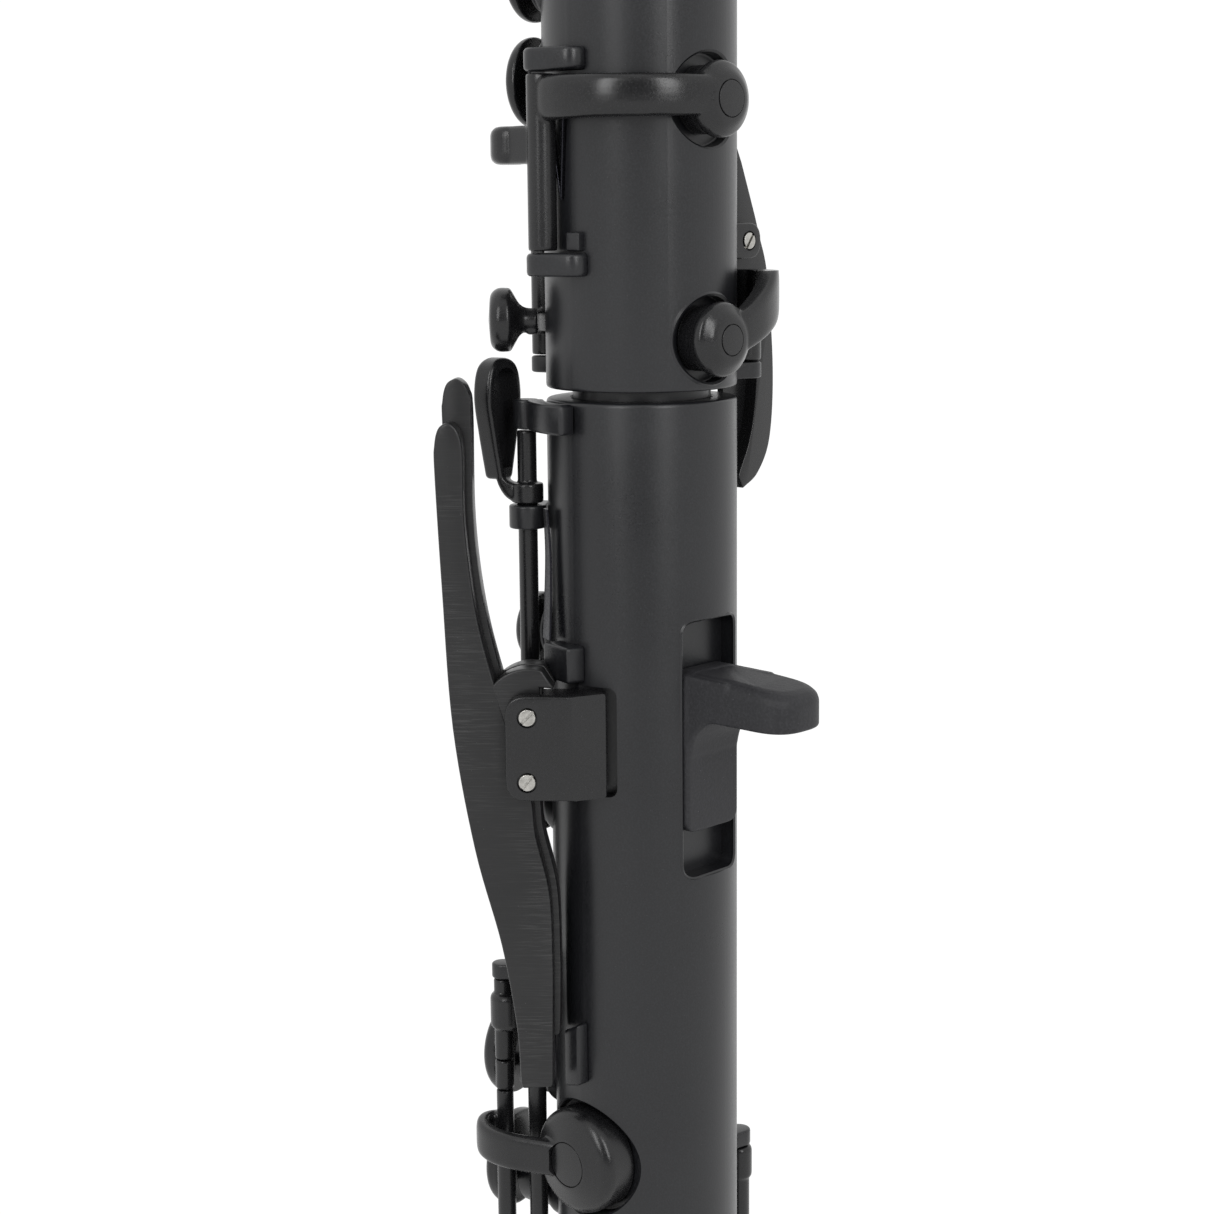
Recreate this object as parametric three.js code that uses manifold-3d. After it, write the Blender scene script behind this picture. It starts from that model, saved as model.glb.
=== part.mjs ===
// Bass clarinet in moulded plastic, to low E flat, as an assembly of separate pieces.
//
// Units are millimetres and +Z is up. The origin is the middle of the floor peg's foot.
// The front, with the finger keys, faces -Y. The player sits at +Y, and +X is the player's left.
//
// Almost every piece sits on one of two straight tubes, so places are given in cylinder form
// around the bore: an azimuth in degrees (0 front, 90 player's left, 180 back, 270 right), a
// radius, and a height above the joint line, the lower rim of the upper joint.

import * as THREE from 'three';
import { mergeVertices } from 'three/addons/utils/BufferGeometryUtils.js';
import Module from 'manifold-3d';

const wasm = await Module();
wasm.setup();

// ---------------------------------------------------------------- driving dimensions

const BODY_R = 20;            // outer radius of both joints
const BORE_R = 11.75;
const JOINT_LINE_Z = 662;     // the joint line above the peg's foot
const JOINT_GAP = 2.2;        // open gap between the two joints
const UPPER_TOP = 388;        // top rim of the upper joint
const LOWER_END = -412;       // bottom rim of the lower joint
const TENON_R = 14.5;
const TENON_LENGTH = 16;
const SOCKET_R = 14.9;
const BELL_TENON_R = 15.6;
const PEG_OFFSET = 31;        // the peg stands this far behind the bore
const CLEARANCE = 0.3;        // gap between neighbouring pieces
const ROUND = 24;             // sides of the large round pieces
const SMALL_ROUND = 8;        // sides of rods and bosses
const SKIN_R = BODY_R + CLEARANCE;

// ---------------------------------------------------------------- materials

const material = (color, roughness, metalness = 0) => (
  new THREE.MeshStandardMaterial({ color, roughness, metalness }));
const bodyPlastic = material(0x35353a, 0.62);
const keyPlastic = material(0x2b2b2e, 0.45);
const softRubber = material(0x2a2a2d, 0.85);
const nickel = material(0xc9c6be, 0.28, 1);
const springSteel = material(0x4a4a4e, 0.4, 0.8);
const cork = material(0xb08a5a, 0.9);
const cane = material(0xd9bf86, 0.6);
const ebonite = material(0x18181a, 0.25);

// ---------------------------------------------------------------- solids

// A closed solid from any three.js geometry, with its faces pointing out.
function solid(geometry) {
  const bare = geometry.clone();
  bare.deleteAttribute('normal');
  bare.deleteAttribute('uv');
  const merged = mergeVertices(bare, 1e-4);
  const position = merged.attributes.position;
  const index = Array.from(merged.index.array);
  if (signedVolume(position, index) < 0) {
    index.reverse();
  }
  return new wasm.Manifold(new wasm.Mesh({
    numProp: 3,
    vertProperties: new Float32Array(position.array),
    triVerts: new Uint32Array(index),
  }));
}

function signedVolume(position, index) {
  const [a, b, c] = [new THREE.Vector3(), new THREE.Vector3(), new THREE.Vector3()];
  let volume = 0;
  for (let i = 0; i < index.length; i += 3) {
    a.fromBufferAttribute(position, index[i]);
    b.fromBufferAttribute(position, index[i + 1]);
    c.fromBufferAttribute(position, index[i + 2]);
    volume += a.dot(b.cross(c)) / 6;
  }
  return volume;
}

function geometryOf(manifold) {
  const mesh = manifold.getMesh();
  const geometry = new THREE.BufferGeometry();
  geometry.setAttribute('position', new THREE.BufferAttribute(mesh.vertProperties, 3));
  geometry.setIndex(new THREE.BufferAttribute(mesh.triVerts, 1));
  geometry.computeVertexNormals();
  return geometry;
}

const join = (...parts) => parts.reduce((whole, part) => whole.add(part));
const cut = (whole, ...tools) => tools.reduce((rest, tool) => rest.subtract(tool), whole);

// ---------------------------------------------------------------- places around the bore

const radians = THREE.MathUtils.degToRad;

function around(azimuth, radius, z) {
  const angle = radians(azimuth);
  return new THREE.Vector3(radius * Math.sin(angle), -radius * Math.cos(angle), z);
}

// Local axes of a place on the tube, seen from outside: X right, Y up, Z straight out.
function facing(azimuth, radius = 0, z = 0) {
  const out = around(azimuth, 1, 0);
  const up = new THREE.Vector3(0, 0, 1);
  const right = new THREE.Vector3().crossVectors(up, out);
  return new THREE.Matrix4().makeBasis(right, up, out).setPosition(around(azimuth, radius, z));
}

// ---------------------------------------------------------------- geometry helpers

// A turned solid about Z. The profile is a list of [radius, height] that closes on itself.
function turned(profile, sides = ROUND) {
  const points = [...profile, profile[0]].map(([r, h]) => new THREE.Vector2(r, h));
  return new THREE.LatheGeometry(points, sides).rotateX(Math.PI / 2);
}

function rod(radius, z0, z1, sides = SMALL_ROUND) {
  return new THREE.CylinderGeometry(radius, radius, z1 - z0, sides)
    .rotateX(Math.PI / 2).translate(0, 0, (z0 + z1) / 2);
}

// A vertical rod beside the bore.
function uprightRod(azimuth, reach, radius, z0, z1, sides = SMALL_ROUND) {
  const foot = around(azimuth, reach, 0);
  return solid(rod(radius, z0, z1, sides).translate(foot.x, foot.y, 0));
}

// A round piece on a radial axis, such as a pad cup, with a bevelled outer rim.
function radialDisc(azimuth, z, radius, from, to, bevel = 0, sides = 12) {
  const profile = [[0, from], [radius, from], [radius, to - bevel], [radius - bevel, to], [0, to]];
  const used = bevel > 0 ? profile : [profile[0], profile[1], [radius, to], profile[4]];
  return solid(turned(used, sides).applyMatrix4(facing(azimuth, 0, z)));
}

// A stretch of a ring around the bore, extruded upward: the arm or foot of a key or post.
function ringStretch(azimuth0, azimuth1, inner, outer, z0, z1, steps = 5) {
  const [start, end] = [radians(azimuth0 - 90), radians(azimuth1 - 90)];
  const shape = new THREE.Shape();
  shape.absarc(0, 0, outer, start, end, false);
  shape.absarc(0, 0, inner, end, start, true);
  const options = { depth: z1 - z0, bevelEnabled: false, curveSegments: steps };
  return solid(new THREE.ExtrudeGeometry(shape, options).translate(0, 0, z0));
}

// A slab in the plan view that runs between two places beside the bore, with round ends.
function planBar(from, to, halfWidth, z0, z1, curveSegments = 3) {
  const [a, b] = [from, to].map(([azimuth, reach]) => around(azimuth, reach, 0));
  const along = Math.atan2(b.y - a.y, b.x - a.x);
  const shape = new THREE.Shape();
  shape.absarc(b.x, b.y, halfWidth, along - Math.PI / 2, along + Math.PI / 2, false);
  shape.absarc(a.x, a.y, halfWidth, along + Math.PI / 2, along + 1.5 * Math.PI, false);
  const options = { depth: z1 - z0, bevelEnabled: false, curveSegments };
  return solid(new THREE.ExtrudeGeometry(shape, options).translate(0, 0, z0));
}

// A block whose sides are square to an azimuth: x0 to x1 across, z0 to z1 up, r0 to r1 out.
function block(azimuth, [x0, x1], [z0, z1], [r0, r1]) {
  const box = new THREE.BoxGeometry(x1 - x0, z1 - z0, r1 - r0);
  box.translate((x0 + x1) / 2, (z0 + z1) / 2, (r0 + r1) / 2);
  return solid(box.applyMatrix4(facing(azimuth)));
}

// A flat outline, drawn as seen from an azimuth, and extruded between two distances.
function flatPiece(azimuth, shape, near, far, curveSegments = 6) {
  const options = { depth: far - near, bevelEnabled: false, curveSegments };
  const plate = new THREE.ExtrudeGeometry(shape, options).translate(0, 0, near);
  return solid(plate.applyMatrix4(facing(azimuth)));
}

function roundedRectangle(x0, x1, y0, y1, corner) {
  const shape = new THREE.Shape();
  const [quarter, half] = [Math.PI / 2, Math.PI];
  shape.absarc(x1 - corner, y1 - corner, corner, 0, quarter, false);
  shape.absarc(x0 + corner, y1 - corner, corner, quarter, half, false);
  shape.absarc(x0 + corner, y0 + corner, corner, half, half + quarter, false);
  shape.absarc(x1 - corner, y0 + corner, corner, half + quarter, 2 * half, false);
  return shape;
}

// Joins rings of equal point counts into a closed skin, with fans over the first and last
// ring, or round in a loop when the rings close on themselves.
function skin(rings, looped = false) {
  const count = rings[0].length;
  const positions = rings.flat().flatMap((point) => [point.x, point.y, point.z]);
  const index = [];
  const bands = looped ? rings.length : rings.length - 1;
  for (let band = 0; band < bands; band += 1) {
    const next = (band + 1) % rings.length;
    for (let i = 0; i < count; i += 1) {
      const j = (i + 1) % count;
      const [a, b, c, d] = [band * count + i, band * count + j, next * count + j, next * count + i];
      index.push(a, b, c, a, c, d);
    }
  }
  if (!looped) {
    const last = (rings.length - 1) * count;
    for (let i = 1; i < count - 1; i += 1) {
      index.push(0, i + 1, i, last, last + i, last + i + 1);
    }
  }
  const geometry = new THREE.BufferGeometry();
  geometry.setAttribute('position', new THREE.Float32BufferAttribute(positions, 3));
  geometry.setIndex(index);
  return solid(geometry);
}

// A bar swept along a smooth path: tall upward, thick across the path, eight-sided.
function sweptBar(points, height, thickness, steps = 10) {
  const path = new THREE.CatmullRomCurve3(points);
  const up = new THREE.Vector3(0, 0, 1);
  const corners = [
    [1, 0.55], [0.5, 1], [-0.5, 1], [-1, 0.55], [-1, -0.55], [-0.5, -1], [0.5, -1], [1, -0.55],
  ];
  const rings = [];
  for (let step = 0; step <= steps; step += 1) {
    const centre = path.getPoint(step / steps);
    const across = new THREE.Vector3().crossVectors(path.getTangent(step / steps), up).normalize();
    rings.push(corners.map(([side, rise]) => (
      centre.clone()
        .addScaledVector(across, side * thickness / 2)
        .addScaledVector(up, rise * height / 2))));
  }
  return skin(rings);
}

// A round tube along a path in the plane x = 0, with its own radius at each station. With no
// inner radius it is a solid bar.
function pipe(path, steps, sides, outerAt, innerAt, [from, to] = [0, 1]) {
  const ringAt = (t, radius) => {
    const centre = path.getPoint(t);
    const along = path.getTangent(t);
    const across = new THREE.Vector3(1, 0, 0);
    const other = new THREE.Vector3().crossVectors(along, across);
    return Array.from({ length: sides }, (_, i) => {
      const angle = (2 * Math.PI * i) / sides;
      return centre.clone()
        .addScaledVector(across, radius * Math.cos(angle))
        .addScaledVector(other, radius * Math.sin(angle));
    });
  };
  const stations = Array.from({ length: steps + 1 }, (_, i) => from + ((to - from) * i) / steps);
  const outer = stations.map((t) => ringAt(t, outerAt(t)));
  if (!innerAt) {
    return skin(outer);
  }
  const inner = stations.map((t) => ringAt(t, innerAt(t))).reverse();
  return skin([...outer, ...inner], true);
}

// ---------------------------------------------------------------- scene graph

const instrument = new THREE.Group();
const body = new THREE.Group();
body.position.set(0, -PEG_OFFSET, JOINT_LINE_Z);
instrument.add(body);

function place(name, manifold, finish, parent = body) {
  const mesh = new THREE.Mesh(geometryOf(manifold), finish);
  mesh.name = name;
  parent.add(mesh);
  return mesh;
}

// ---------------------------------------------------------------- keys: where they sit

// Closed keys sink into a round pocket, whose floor is the pad's seat.
const POCKET_KEYS = {
  c_sharp: { azimuth: 180, z: 57.9, cup: 7.6, pocket: 9.3, floor: 16.4, face: 25.9, hole: 4 },
  side_b_flat: { azimuth: 180, z: 10.4, cup: 7.6, pocket: 9.2, floor: 16.4, face: 26.1, hole: 4 },
  a_flat: { azimuth: 90, z: -166, cup: 11.7, pocket: 12.8, floor: 15.2, face: 24.8, hole: 8 },
};
const DOME_BASE_R = 6.8;        // a domed cup is narrower where it sits in its pocket
const INSERT_R = 4.8;           // the flat middle of the large flat cup

const pocketOf = ({ azimuth, z, pocket, floor }) => radialDisc(azimuth, z, pocket, floor, 23);
const holeOf = ({ azimuth, z, hole }) => radialDisc(azimuth, z, hole, 0.5, 30, 0, 6);

function domedCup({ azimuth, z, cup, floor, face }) {
  const profile = [
    [0, floor + CLEARANCE], [DOME_BASE_R, floor + CLEARANCE], [DOME_BASE_R, face - 5.4],
    [cup, face - 3.8], [cup, face - 2.5], [cup - 2.8, face - 0.3], [0, face],
  ];
  return solid(turned(profile, 16).applyMatrix4(facing(azimuth, 0, z)));
}

function flatCup({ azimuth, z, cup, floor, face }) {
  const profile = [
    [0, floor + CLEARANCE], [cup, floor + CLEARANCE], [cup, face - 1.4], [INSERT_R, face], [0, face],
  ];
  return solid(turned(profile, 20).applyMatrix4(facing(azimuth, 0, z)));
}

// Plateau and open keys stand over a raised chimney, hinged on a tube beside the bore.
const FRONT = 15;
const FINGER_ROD = { azimuth: 330, reach: 24.6 };
const [ARM_INNER, ARM_OUTER] = [25.1, 27.2];
const STACK_LIFT = 2.2;         // the open height of a plateau key over its chimney
const STACK_KEYS = [
  { name: 'lh_index_key', z: 172, cup: 9.5, face: 27.5, tube: [160, 190] },
  { name: 'lh_middle_key', z: 128, cup: 9.5, face: 27.5, tube: [116, 146] },
  { name: 'lh_ring_key', z: 84.5, cup: 9.5, face: 27.5, tube: [50, 98], second: 62.8 },
  { name: 'rh_index_key', z: -53.6, cup: 7.8, face: 28.4, tube: [-68, -42] },
  { name: 'rh_middle_key', z: -90, cup: 9.5, face: 28.4, tube: [-102, -76] },
  { name: 'rh_ring_key', z: -122, cup: 9.5, face: 28.4, tube: [-134, -108] },
].map((key) => ({ ...key, chimney: 22.3, hole: 6 }));

// Two large pads stand open in front, on a long outboard hinge with two more keys.
const OUTBOARD = { azimuth: 42, reach: 31.6 };
const OPEN_PADS = [
  { name: 'low_g_key', z: -151.7, tube: [-156, -149.3] },
  { name: 'low_f_sharp_key', z: -178.9, tube: [-196, -171.6] },
].map((key) => ({ ...key, cup: 11.1, face: 37, chimney: 29, hole: 8 }));

// Three low keys run down the right side, each with a touch for the right little finger.
const LOW_KEYS = [
  { name: 'low_f_key', azimuth: 296, top: -204, pad: -246, padAzimuth: 338 },
  { name: 'low_e_key', azimuth: 279, top: -190, pad: -296, padAzimuth: 321 },
  { name: 'low_e_flat_key', azimuth: 262, top: -176, pad: -348, padAzimuth: 304 },
].map((key) => ({ ...key, reach: 26.6, cup: 14, face: 30.4, chimney: 22.6, hole: 9 }));
const LOW_LIFT = 2.8;           // the open height of a low key over its chimney

// ---------------------------------------------------------------- the two joints

// A post moulded on a joint: a stub with a rounded head that carries the end of a hinge.
function mouldedPost(azimuth, reach, z0, z1, radius = 3) {
  return planBar([azimuth, 16], [azimuth, reach], radius, z0, z1, 2);
}

function chimney(azimuth, z, radius, top) {
  return radialDisc(azimuth, z, radius, 15, top, 0, 8);
}

const stackHole = ({ z, hole, azimuth = FRONT }) => radialDisc(azimuth, z, hole, 0.5, 40, 0, 6);

function postsFor(keys, rodPlace, thickness = 3.4) {
  return keys.flatMap(({ tube: [low, high] }) => [
    mouldedPost(rodPlace.azimuth, rodPlace.reach, low - CLEARANCE - thickness, low - CLEARANCE),
    mouldedPost(rodPlace.azimuth, rodPlace.reach, high + CLEARANCE, high + CLEARANCE + thickness),
  ]);
}

function upperJoint() {
  const tube = solid(turned([
    [BORE_R, -TENON_LENGTH], [TENON_R - 1.3, -TENON_LENGTH], [TENON_R - 1.3, -4],
    [TENON_R, -4], [TENON_R, 0], [BODY_R - 0.6, 0], [BODY_R, 0.6],
    [BODY_R, UPPER_TOP], [SOCKET_R, UPPER_TOP], [SOCKET_R, UPPER_TOP - 18], [BORE_R, UPPER_TOP - 18],
  ]));
  const keys = STACK_KEYS.filter(({ z }) => z > 0);
  const ringKey = keys[2];
  const chimneys = keys.map(({ z, cup, chimney: top }) => chimney(FRONT, z, cup - 1.5, top));
  const secondPad = { z: ringKey.second, hole: 6 };
  const whole = join(
    tube,
    ...chimneys,
    chimney(FRONT, ringKey.second, ringKey.cup - 1.5, ringKey.chimney),
    ...postsFor(keys, FINGER_ROD),
    ...BACK_POSTS.map((post) => mouldedPost(...post)),
    ...BUTTON_POSTS.map((post) => mouldedPost(...post)),
  );
  return cut(
    whole,
    ...keys.map(stackHole),
    stackHole(secondPad),
    stackHole({ z: THUMB_KEY.z, hole: 5, azimuth: 180 }),
    stackHole({ z: REGISTER_KEY.pad, hole: 1.8, azimuth: 180 }),
    stackHole({ z: THROAT_A.pad, hole: 3.5, azimuth: THROAT_A.azimuth }),
    stackHole({ z: THROAT_G.pad, hole: 3.5, azimuth: THROAT_G.azimuth }),
    stackHole({ z: SIDE_LEVER.pad, hole: 3.5, azimuth: 270 }),
    pocketOf(POCKET_KEYS.c_sharp),
    holeOf(POCKET_KEYS.c_sharp),
    pocketOf(POCKET_KEYS.side_b_flat),
    holeOf(POCKET_KEYS.side_b_flat),
  );
}

function lowerJoint() {
  const top = -JOINT_GAP;
  const tube = solid(turned([
    [BORE_R, LOWER_END - TENON_LENGTH], [BELL_TENON_R, LOWER_END - TENON_LENGTH],
    [BELL_TENON_R, LOWER_END], [BODY_R, LOWER_END], [BODY_R, top - 0.6], [BODY_R - 0.6, top],
    [SOCKET_R, top], [SOCKET_R, top - 17], [BORE_R, top - 17],
  ]));
  const keys = STACK_KEYS.filter(({ z }) => z < 0);
  const padChimneys = [...OPEN_PADS.map((key) => ({ ...key, azimuth: FRONT })),
    ...LOW_KEYS.map((key) => ({ ...key, z: key.pad, azimuth: key.padAzimuth }))];
  const outboardPosts = [[-130.2, -126.8], [-199.7, -196.3]].map(([z0, z1]) => (
    mouldedPost(OUTBOARD.azimuth, OUTBOARD.reach, z0, z1, 2.4)));
  const lowPosts = LOW_KEYS.flatMap(({ azimuth, reach, top: high, pad }) => [
    mouldedPost(azimuth, reach, high + CLEARANCE, high + 4, 2.6),
    mouldedPost(azimuth, reach, pad - 12, pad - 8 - CLEARANCE, 2.6),
  ]);
  const slot = THUMB_SLOT;
  const thumbSlot = flatPiece(slot.azimuth, roundedRectangle(
    -slot.halfWidth, slot.halfWidth, slot.low, slot.high, slot.corner), slot.floor, 24, 3);
  const leverPocket = block(LEVER_PLANE, [-30, -4.6], [-84.2, -60.9], [15.4, 24]);
  const whole = join(
    tube,
    ...keys.map(({ z, cup, chimney: rim }) => chimney(FRONT, z, cup - 1.5, rim)),
    ...padChimneys.map(({ azimuth, z, cup, chimney: rim }) => chimney(azimuth, z, cup - 2, rim)),
    ...postsFor(keys, FINGER_ROD),
    ...outboardPosts,
    ...lowPosts,
    ...SLIVER_POSTS.map((post) => mouldedPost(...post)),
  );
  return cut(
    whole,
    ...keys.map(stackHole),
    ...padChimneys.map(stackHole),
    pocketOf(POCKET_KEYS.a_flat),
    holeOf(POCKET_KEYS.a_flat),
    stackHole({ z: SLIVER.z, hole: 3.5, azimuth: SLIVER.azimuth }),
    thumbSlot,
    leverPocket,
  );
}

// ---------------------------------------------------------------- thumb rest

const THUMB_SLOT = {
  azimuth: 182.5, halfWidth: 8.4, low: -102.3, high: -47.1, corner: 3.2, floor: 14.7,
};

// The rest slides in its slot: a plate flush with the tube, and a hook for the right thumb.
function thumbRest() {
  const [low, high, halfWidth] = [-92.2, -57.8, THUMB_SLOT.halfWidth - CLEARANCE];
  const outline = roundedRectangle(-halfWidth, halfWidth, low, high, 3);
  const plate = flatPiece(THUMB_SLOT.azimuth, outline, THUMB_SLOT.floor + CLEARANCE, 24, 4);
  const flush = solid(rod(BODY_R - 0.1, low - 5, high + 5, ROUND));
  const side = new THREE.Shape();          // drawn as [distance out, height]
  side.moveTo(15.5, high);
  side.lineTo(24, high);
  side.quadraticCurveTo(38, -58.6, 43, -61.4);
  side.quadraticCurveTo(46, -63, 45.6, -66.6);
  side.lineTo(42, -67.8);
  side.lineTo(30, -67.4);
  side.quadraticCurveTo(22.5, -66, 19.4, -73);
  side.lineTo(15.5, -76);
  const out = new THREE.Vector3(0, 0, 1);
  const up = new THREE.Vector3(0, 1, 0);
  const right = new THREE.Vector3(1, 0, 0);
  const place = facing(THUMB_SLOT.azimuth);
  const profile = new THREE.ExtrudeGeometry(side, {
    depth: 2 * halfWidth, bevelEnabled: false, curveSegments: 5,
  });
  profile.translate(0, 0, -halfWidth)
    .applyMatrix4(place.clone().multiply(new THREE.Matrix4().makeBasis(out, up, right)));
  const plan = new THREE.Shape();          // drawn as [across, distance out]: a round end
  plan.moveTo(-halfWidth, 15);
  plan.lineTo(halfWidth, 15);
  plan.lineTo(halfWidth - 0.4, 38);
  plan.absarc(0, 38, halfWidth - 0.4, 0, Math.PI, false);
  const footprint = new THREE.ExtrudeGeometry(plan, {
    depth: 30, bevelEnabled: false, curveSegments: 6,
  });
  footprint.translate(0, 0, -82)
    .applyMatrix4(place.clone().multiply(new THREE.Matrix4().makeBasis(right, out, up)));
  return join(plate.intersect(flush), solid(profile).intersect(solid(footprint)));
}

// ---------------------------------------------------------------- left-hand levers

const LEVER_PLANE = 131.7;      // the azimuth that the levers' flat sides face
const LEVER_PIVOT = [22.7, -66];
const LEVER_PIN_R = 1.2;

// An S-shaped bar, drawn as [reach from the bore, height]. The plane's X axis points back, so
// the reach is mirrored.
function leverOutline(top, bottom, lean) {
  const point = ([reach, z]) => new THREE.Vector2(-(reach - lean), z);
  const outer = [
    [41.2, top - 9], [40.1, -40], [38.6, -69], [34.5, -95], [29.2, -116], [26.3, -134],
    [25.6, bottom + 1.5],
  ];
  const inner = [
    [18.4, -122], [18.9, -105], [21.7, -92], [22.9, -82], [28.5, -64], [33, -46], [35.6, -27],
    [35.5, top - 5],
  ];
  const shape = new THREE.Shape();
  shape.moveTo(...point([38.2, top]).toArray());
  shape.splineThru(outer.map(point));
  shape.lineTo(...point([24.2, bottom]).toArray());
  shape.lineTo(...point([18.5, bottom]).toArray());
  shape.splineThru(inner.map(point));
  shape.lineTo(...point([36.4, top - 0.8]).toArray());
  return shape;
}

function leftHandLever(top, bottom, lean, near, far) {
  const bar = flatPiece(LEVER_PLANE, leverOutline(top, bottom, lean), near, far, 3);
  const [reach, z] = LEVER_PIVOT;
  const web = new THREE.Shape();
  web.moveTo(-33, -48);
  web.lineTo(-21.6, z + 5.4);
  web.absarc(-reach, z, 4.6, radians(50), radians(-70), true);
  web.lineTo(-26.5, -76);
  web.lineTo(-32, -66);
  const hub = flatPiece(LEVER_PLANE, web, near, far, 6);
  const hole = solid(rod(LEVER_PIN_R + CLEARANCE, near - 1, far + 1, 8)
    .applyMatrix4(facing(LEVER_PLANE).multiply(new THREE.Matrix4().makeTranslation(-reach, z, 0))));
  return cut(join(bar, hub), hole);
}

// The hinge block: a face and a back cheek with the levers between them, footed in a pocket.
function leverBlock() {
  const [reach, z] = LEVER_PIVOT;
  const outline = roundedRectangle(-27.3, -6.8, -83.6, -61.6, 3.4);
  const whole = flatPiece(LEVER_PLANE, outline, 6, 24.7, 3);
  const foot = block(LEVER_PLANE, [-16, -7.2], [-83.2, -62], [15.8, 20.5]);
  const onPin = (dx, dz) => facing(LEVER_PLANE)
    .multiply(new THREE.Matrix4().makeTranslation(-reach + dx, z + dz, 0));
  const leverGap = block(LEVER_PLANE, [-40, -19.9], [-100, -50], [10.3, 22]);
  const hubGap = solid(rod(5.2, 10.3, 22, 10).applyMatrix4(onPin(0, 0)));
  const pinHole = solid(rod(LEVER_PIN_R + CLEARANCE, 7.5, 30, 8).applyMatrix4(onPin(0, 0)));
  const headSeats = [[0, 0], [-0.2, -13.7]].map((offset) => (
    solid(rod(2.1, 23.6, 30, 8).applyMatrix4(onPin(...offset)))));
  return cut(
    join(whole.subtract(solid(rod(SKIN_R, -90, -50, ROUND))), foot),
    leverGap, hubGap, pinHole, ...headSeats);
}

// A slotted cheese-head screw on the levers' pivot line or beside it.
function blockScrew(dx, dz, depth, turn) {
  const [reach, z] = LEVER_PIVOT;
  const onAxis = facing(LEVER_PLANE).multiply(
    new THREE.Matrix4().makeTranslation(-reach + dx, z + dz, 0));
  const head = rod(1.75, 23.9, 24.9, 8);
  const slot = new THREE.BoxGeometry(4, 0.5, 1).rotateZ(radians(turn)).translate(0, 0, 25.05);
  const shank = depth < 23.8 ? [solid(rod(LEVER_PIN_R, depth, 24.2, 8).applyMatrix4(onAxis))] : [];
  return cut(join(solid(head.applyMatrix4(onAxis)), ...shank), solid(slot.applyMatrix4(onAxis)));
}

// ---------------------------------------------------------------- keys on the upper joint

const C_SHARP_ROD = { azimuth: 77.6, reach: 23.5 };

function cSharpKey() {
  const key = POCKET_KEYS.c_sharp;
  const { azimuth, reach } = C_SHARP_ROD;
  return join(
    uprightRod(azimuth, reach, 3, 28.4, 63.3),
    ringStretch(azimuth + 2, key.azimuth, 21.2, 25.4, 54.4, 62.5, 7),
    planBar([azimuth, reach], [56, 27.4], 2.6, 45.6, 53.4),
    planBar([57, 27], [50, 26.8], 4.1, 45.6, 53.4),
    domedCup(key),
  );
}

// A clip-on post: a foot on the tube, and a round end over the hinge.
function clipPost(z0, z1) {
  const { azimuth, reach } = C_SHARP_ROD;
  return planBar([93.4, 20.6], [azimuth, reach], 3.4, z0, z1)
    .subtract(solid(rod(SKIN_R, z0 - 2, z1 + 2, ROUND)));
}

const SIDE_ROD = { azimuth: 246, reach: 24.2 };

function sideKey() {
  const key = POCKET_KEYS.side_b_flat;
  const arm = sweptBar([
    around(186, 23.6, 11.4), around(206, 26.3, 14), around(224, 27.6, 17.8), around(240, 26, 19.2),
  ], 8.4, 4.6, 6);
  return join(domedCup(key), arm, uprightRod(SIDE_ROD.azimuth, SIDE_ROD.reach, 3, 4.6, 24));
}

// The right-hand side lever: a flat bar on a pin, bowed out for the finger.
const SIDE_LEVER = { pivot: [24.4, 29.6], near: 0.8, far: 5.8, pad: 106 };

function sideLever() {
  const { pivot: [reach, z], near, far, pad } = SIDE_LEVER;
  const shape = new THREE.Shape();
  const curve = (...points) => shape.splineThru(points.map(([x, y]) => new THREE.Vector2(x, y)));
  shape.moveTo(22.4, 52);
  shape.lineTo(29.2, 35);
  curve([33.3, 22], [35.2, 2], [34.2, -13], [30.4, -20.5], [24.6, -23.9]);
  shape.lineTo(23.6, -20.4);
  curve([27.4, -13.5], [29.3, -5], [29.8, 6], [27.2, 17], [23, 22]);
  shape.lineTo(21.4, 30);
  shape.lineTo(21.4, 52);
  const plate = flatPiece(180, shape, near, far, 3);
  const recess = new THREE.Shape();        // the thin panel inside the bow
  recess.moveTo(22.2, 40);
  recess.lineTo(22.2, 5);
  recess.lineTo(23, -20.6);
  recess.lineTo(29, -18);
  recess.lineTo(32, 0);
  recess.lineTo(28, 30);
  const panel = flatPiece(180, recess, near, near + 1.8);
  const stem = block(180, [21.4, 24.4], [45, pad], [near, far]);
  const pinHole = solid(rod(LEVER_PIN_R + CLEARANCE, near - 1, far + 1, 8)
    .applyMatrix4(facing(180).multiply(new THREE.Matrix4().makeTranslation(reach, z, 0))));
  return cut(join(plate, panel, stem, radialDisc(270, pad, 7, 20.4, 25, 1.2)), pinHole);
}

function sideLeverBracket() {
  const { pivot: [reach, z], near, far } = SIDE_LEVER;
  const back = [near - 3.2, near - CLEARANCE];
  const cheekBack = block(180, [18, reach + 3.6], [z - 3.8, z + 3.8], back);
  const cheekFront = flatPiece(180, roundedRectangle(
    17, reach + 3.9, z - 3.9, z + 3.9, 3.8), far + CLEARANCE, far + 2.6, 6);
  const bridge = block(180, [17, 21], [z - 3.8, z + 3.8], [near - 3.2, far + 2.6]);
  const onPin = facing(180).multiply(new THREE.Matrix4().makeTranslation(reach, z, 0));
  const hole = solid(rod(LEVER_PIN_R + CLEARANCE, near - 2, far + 9, 8).applyMatrix4(onPin));
  const seat = solid(rod(2.1, far + 1.6, far + 9, 8).applyMatrix4(onPin));
  return cut(
    join(cheekBack, cheekFront, bridge),
    solid(rod(SKIN_R, z - 9, z + 9, ROUND)), hole, seat);
}

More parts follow.
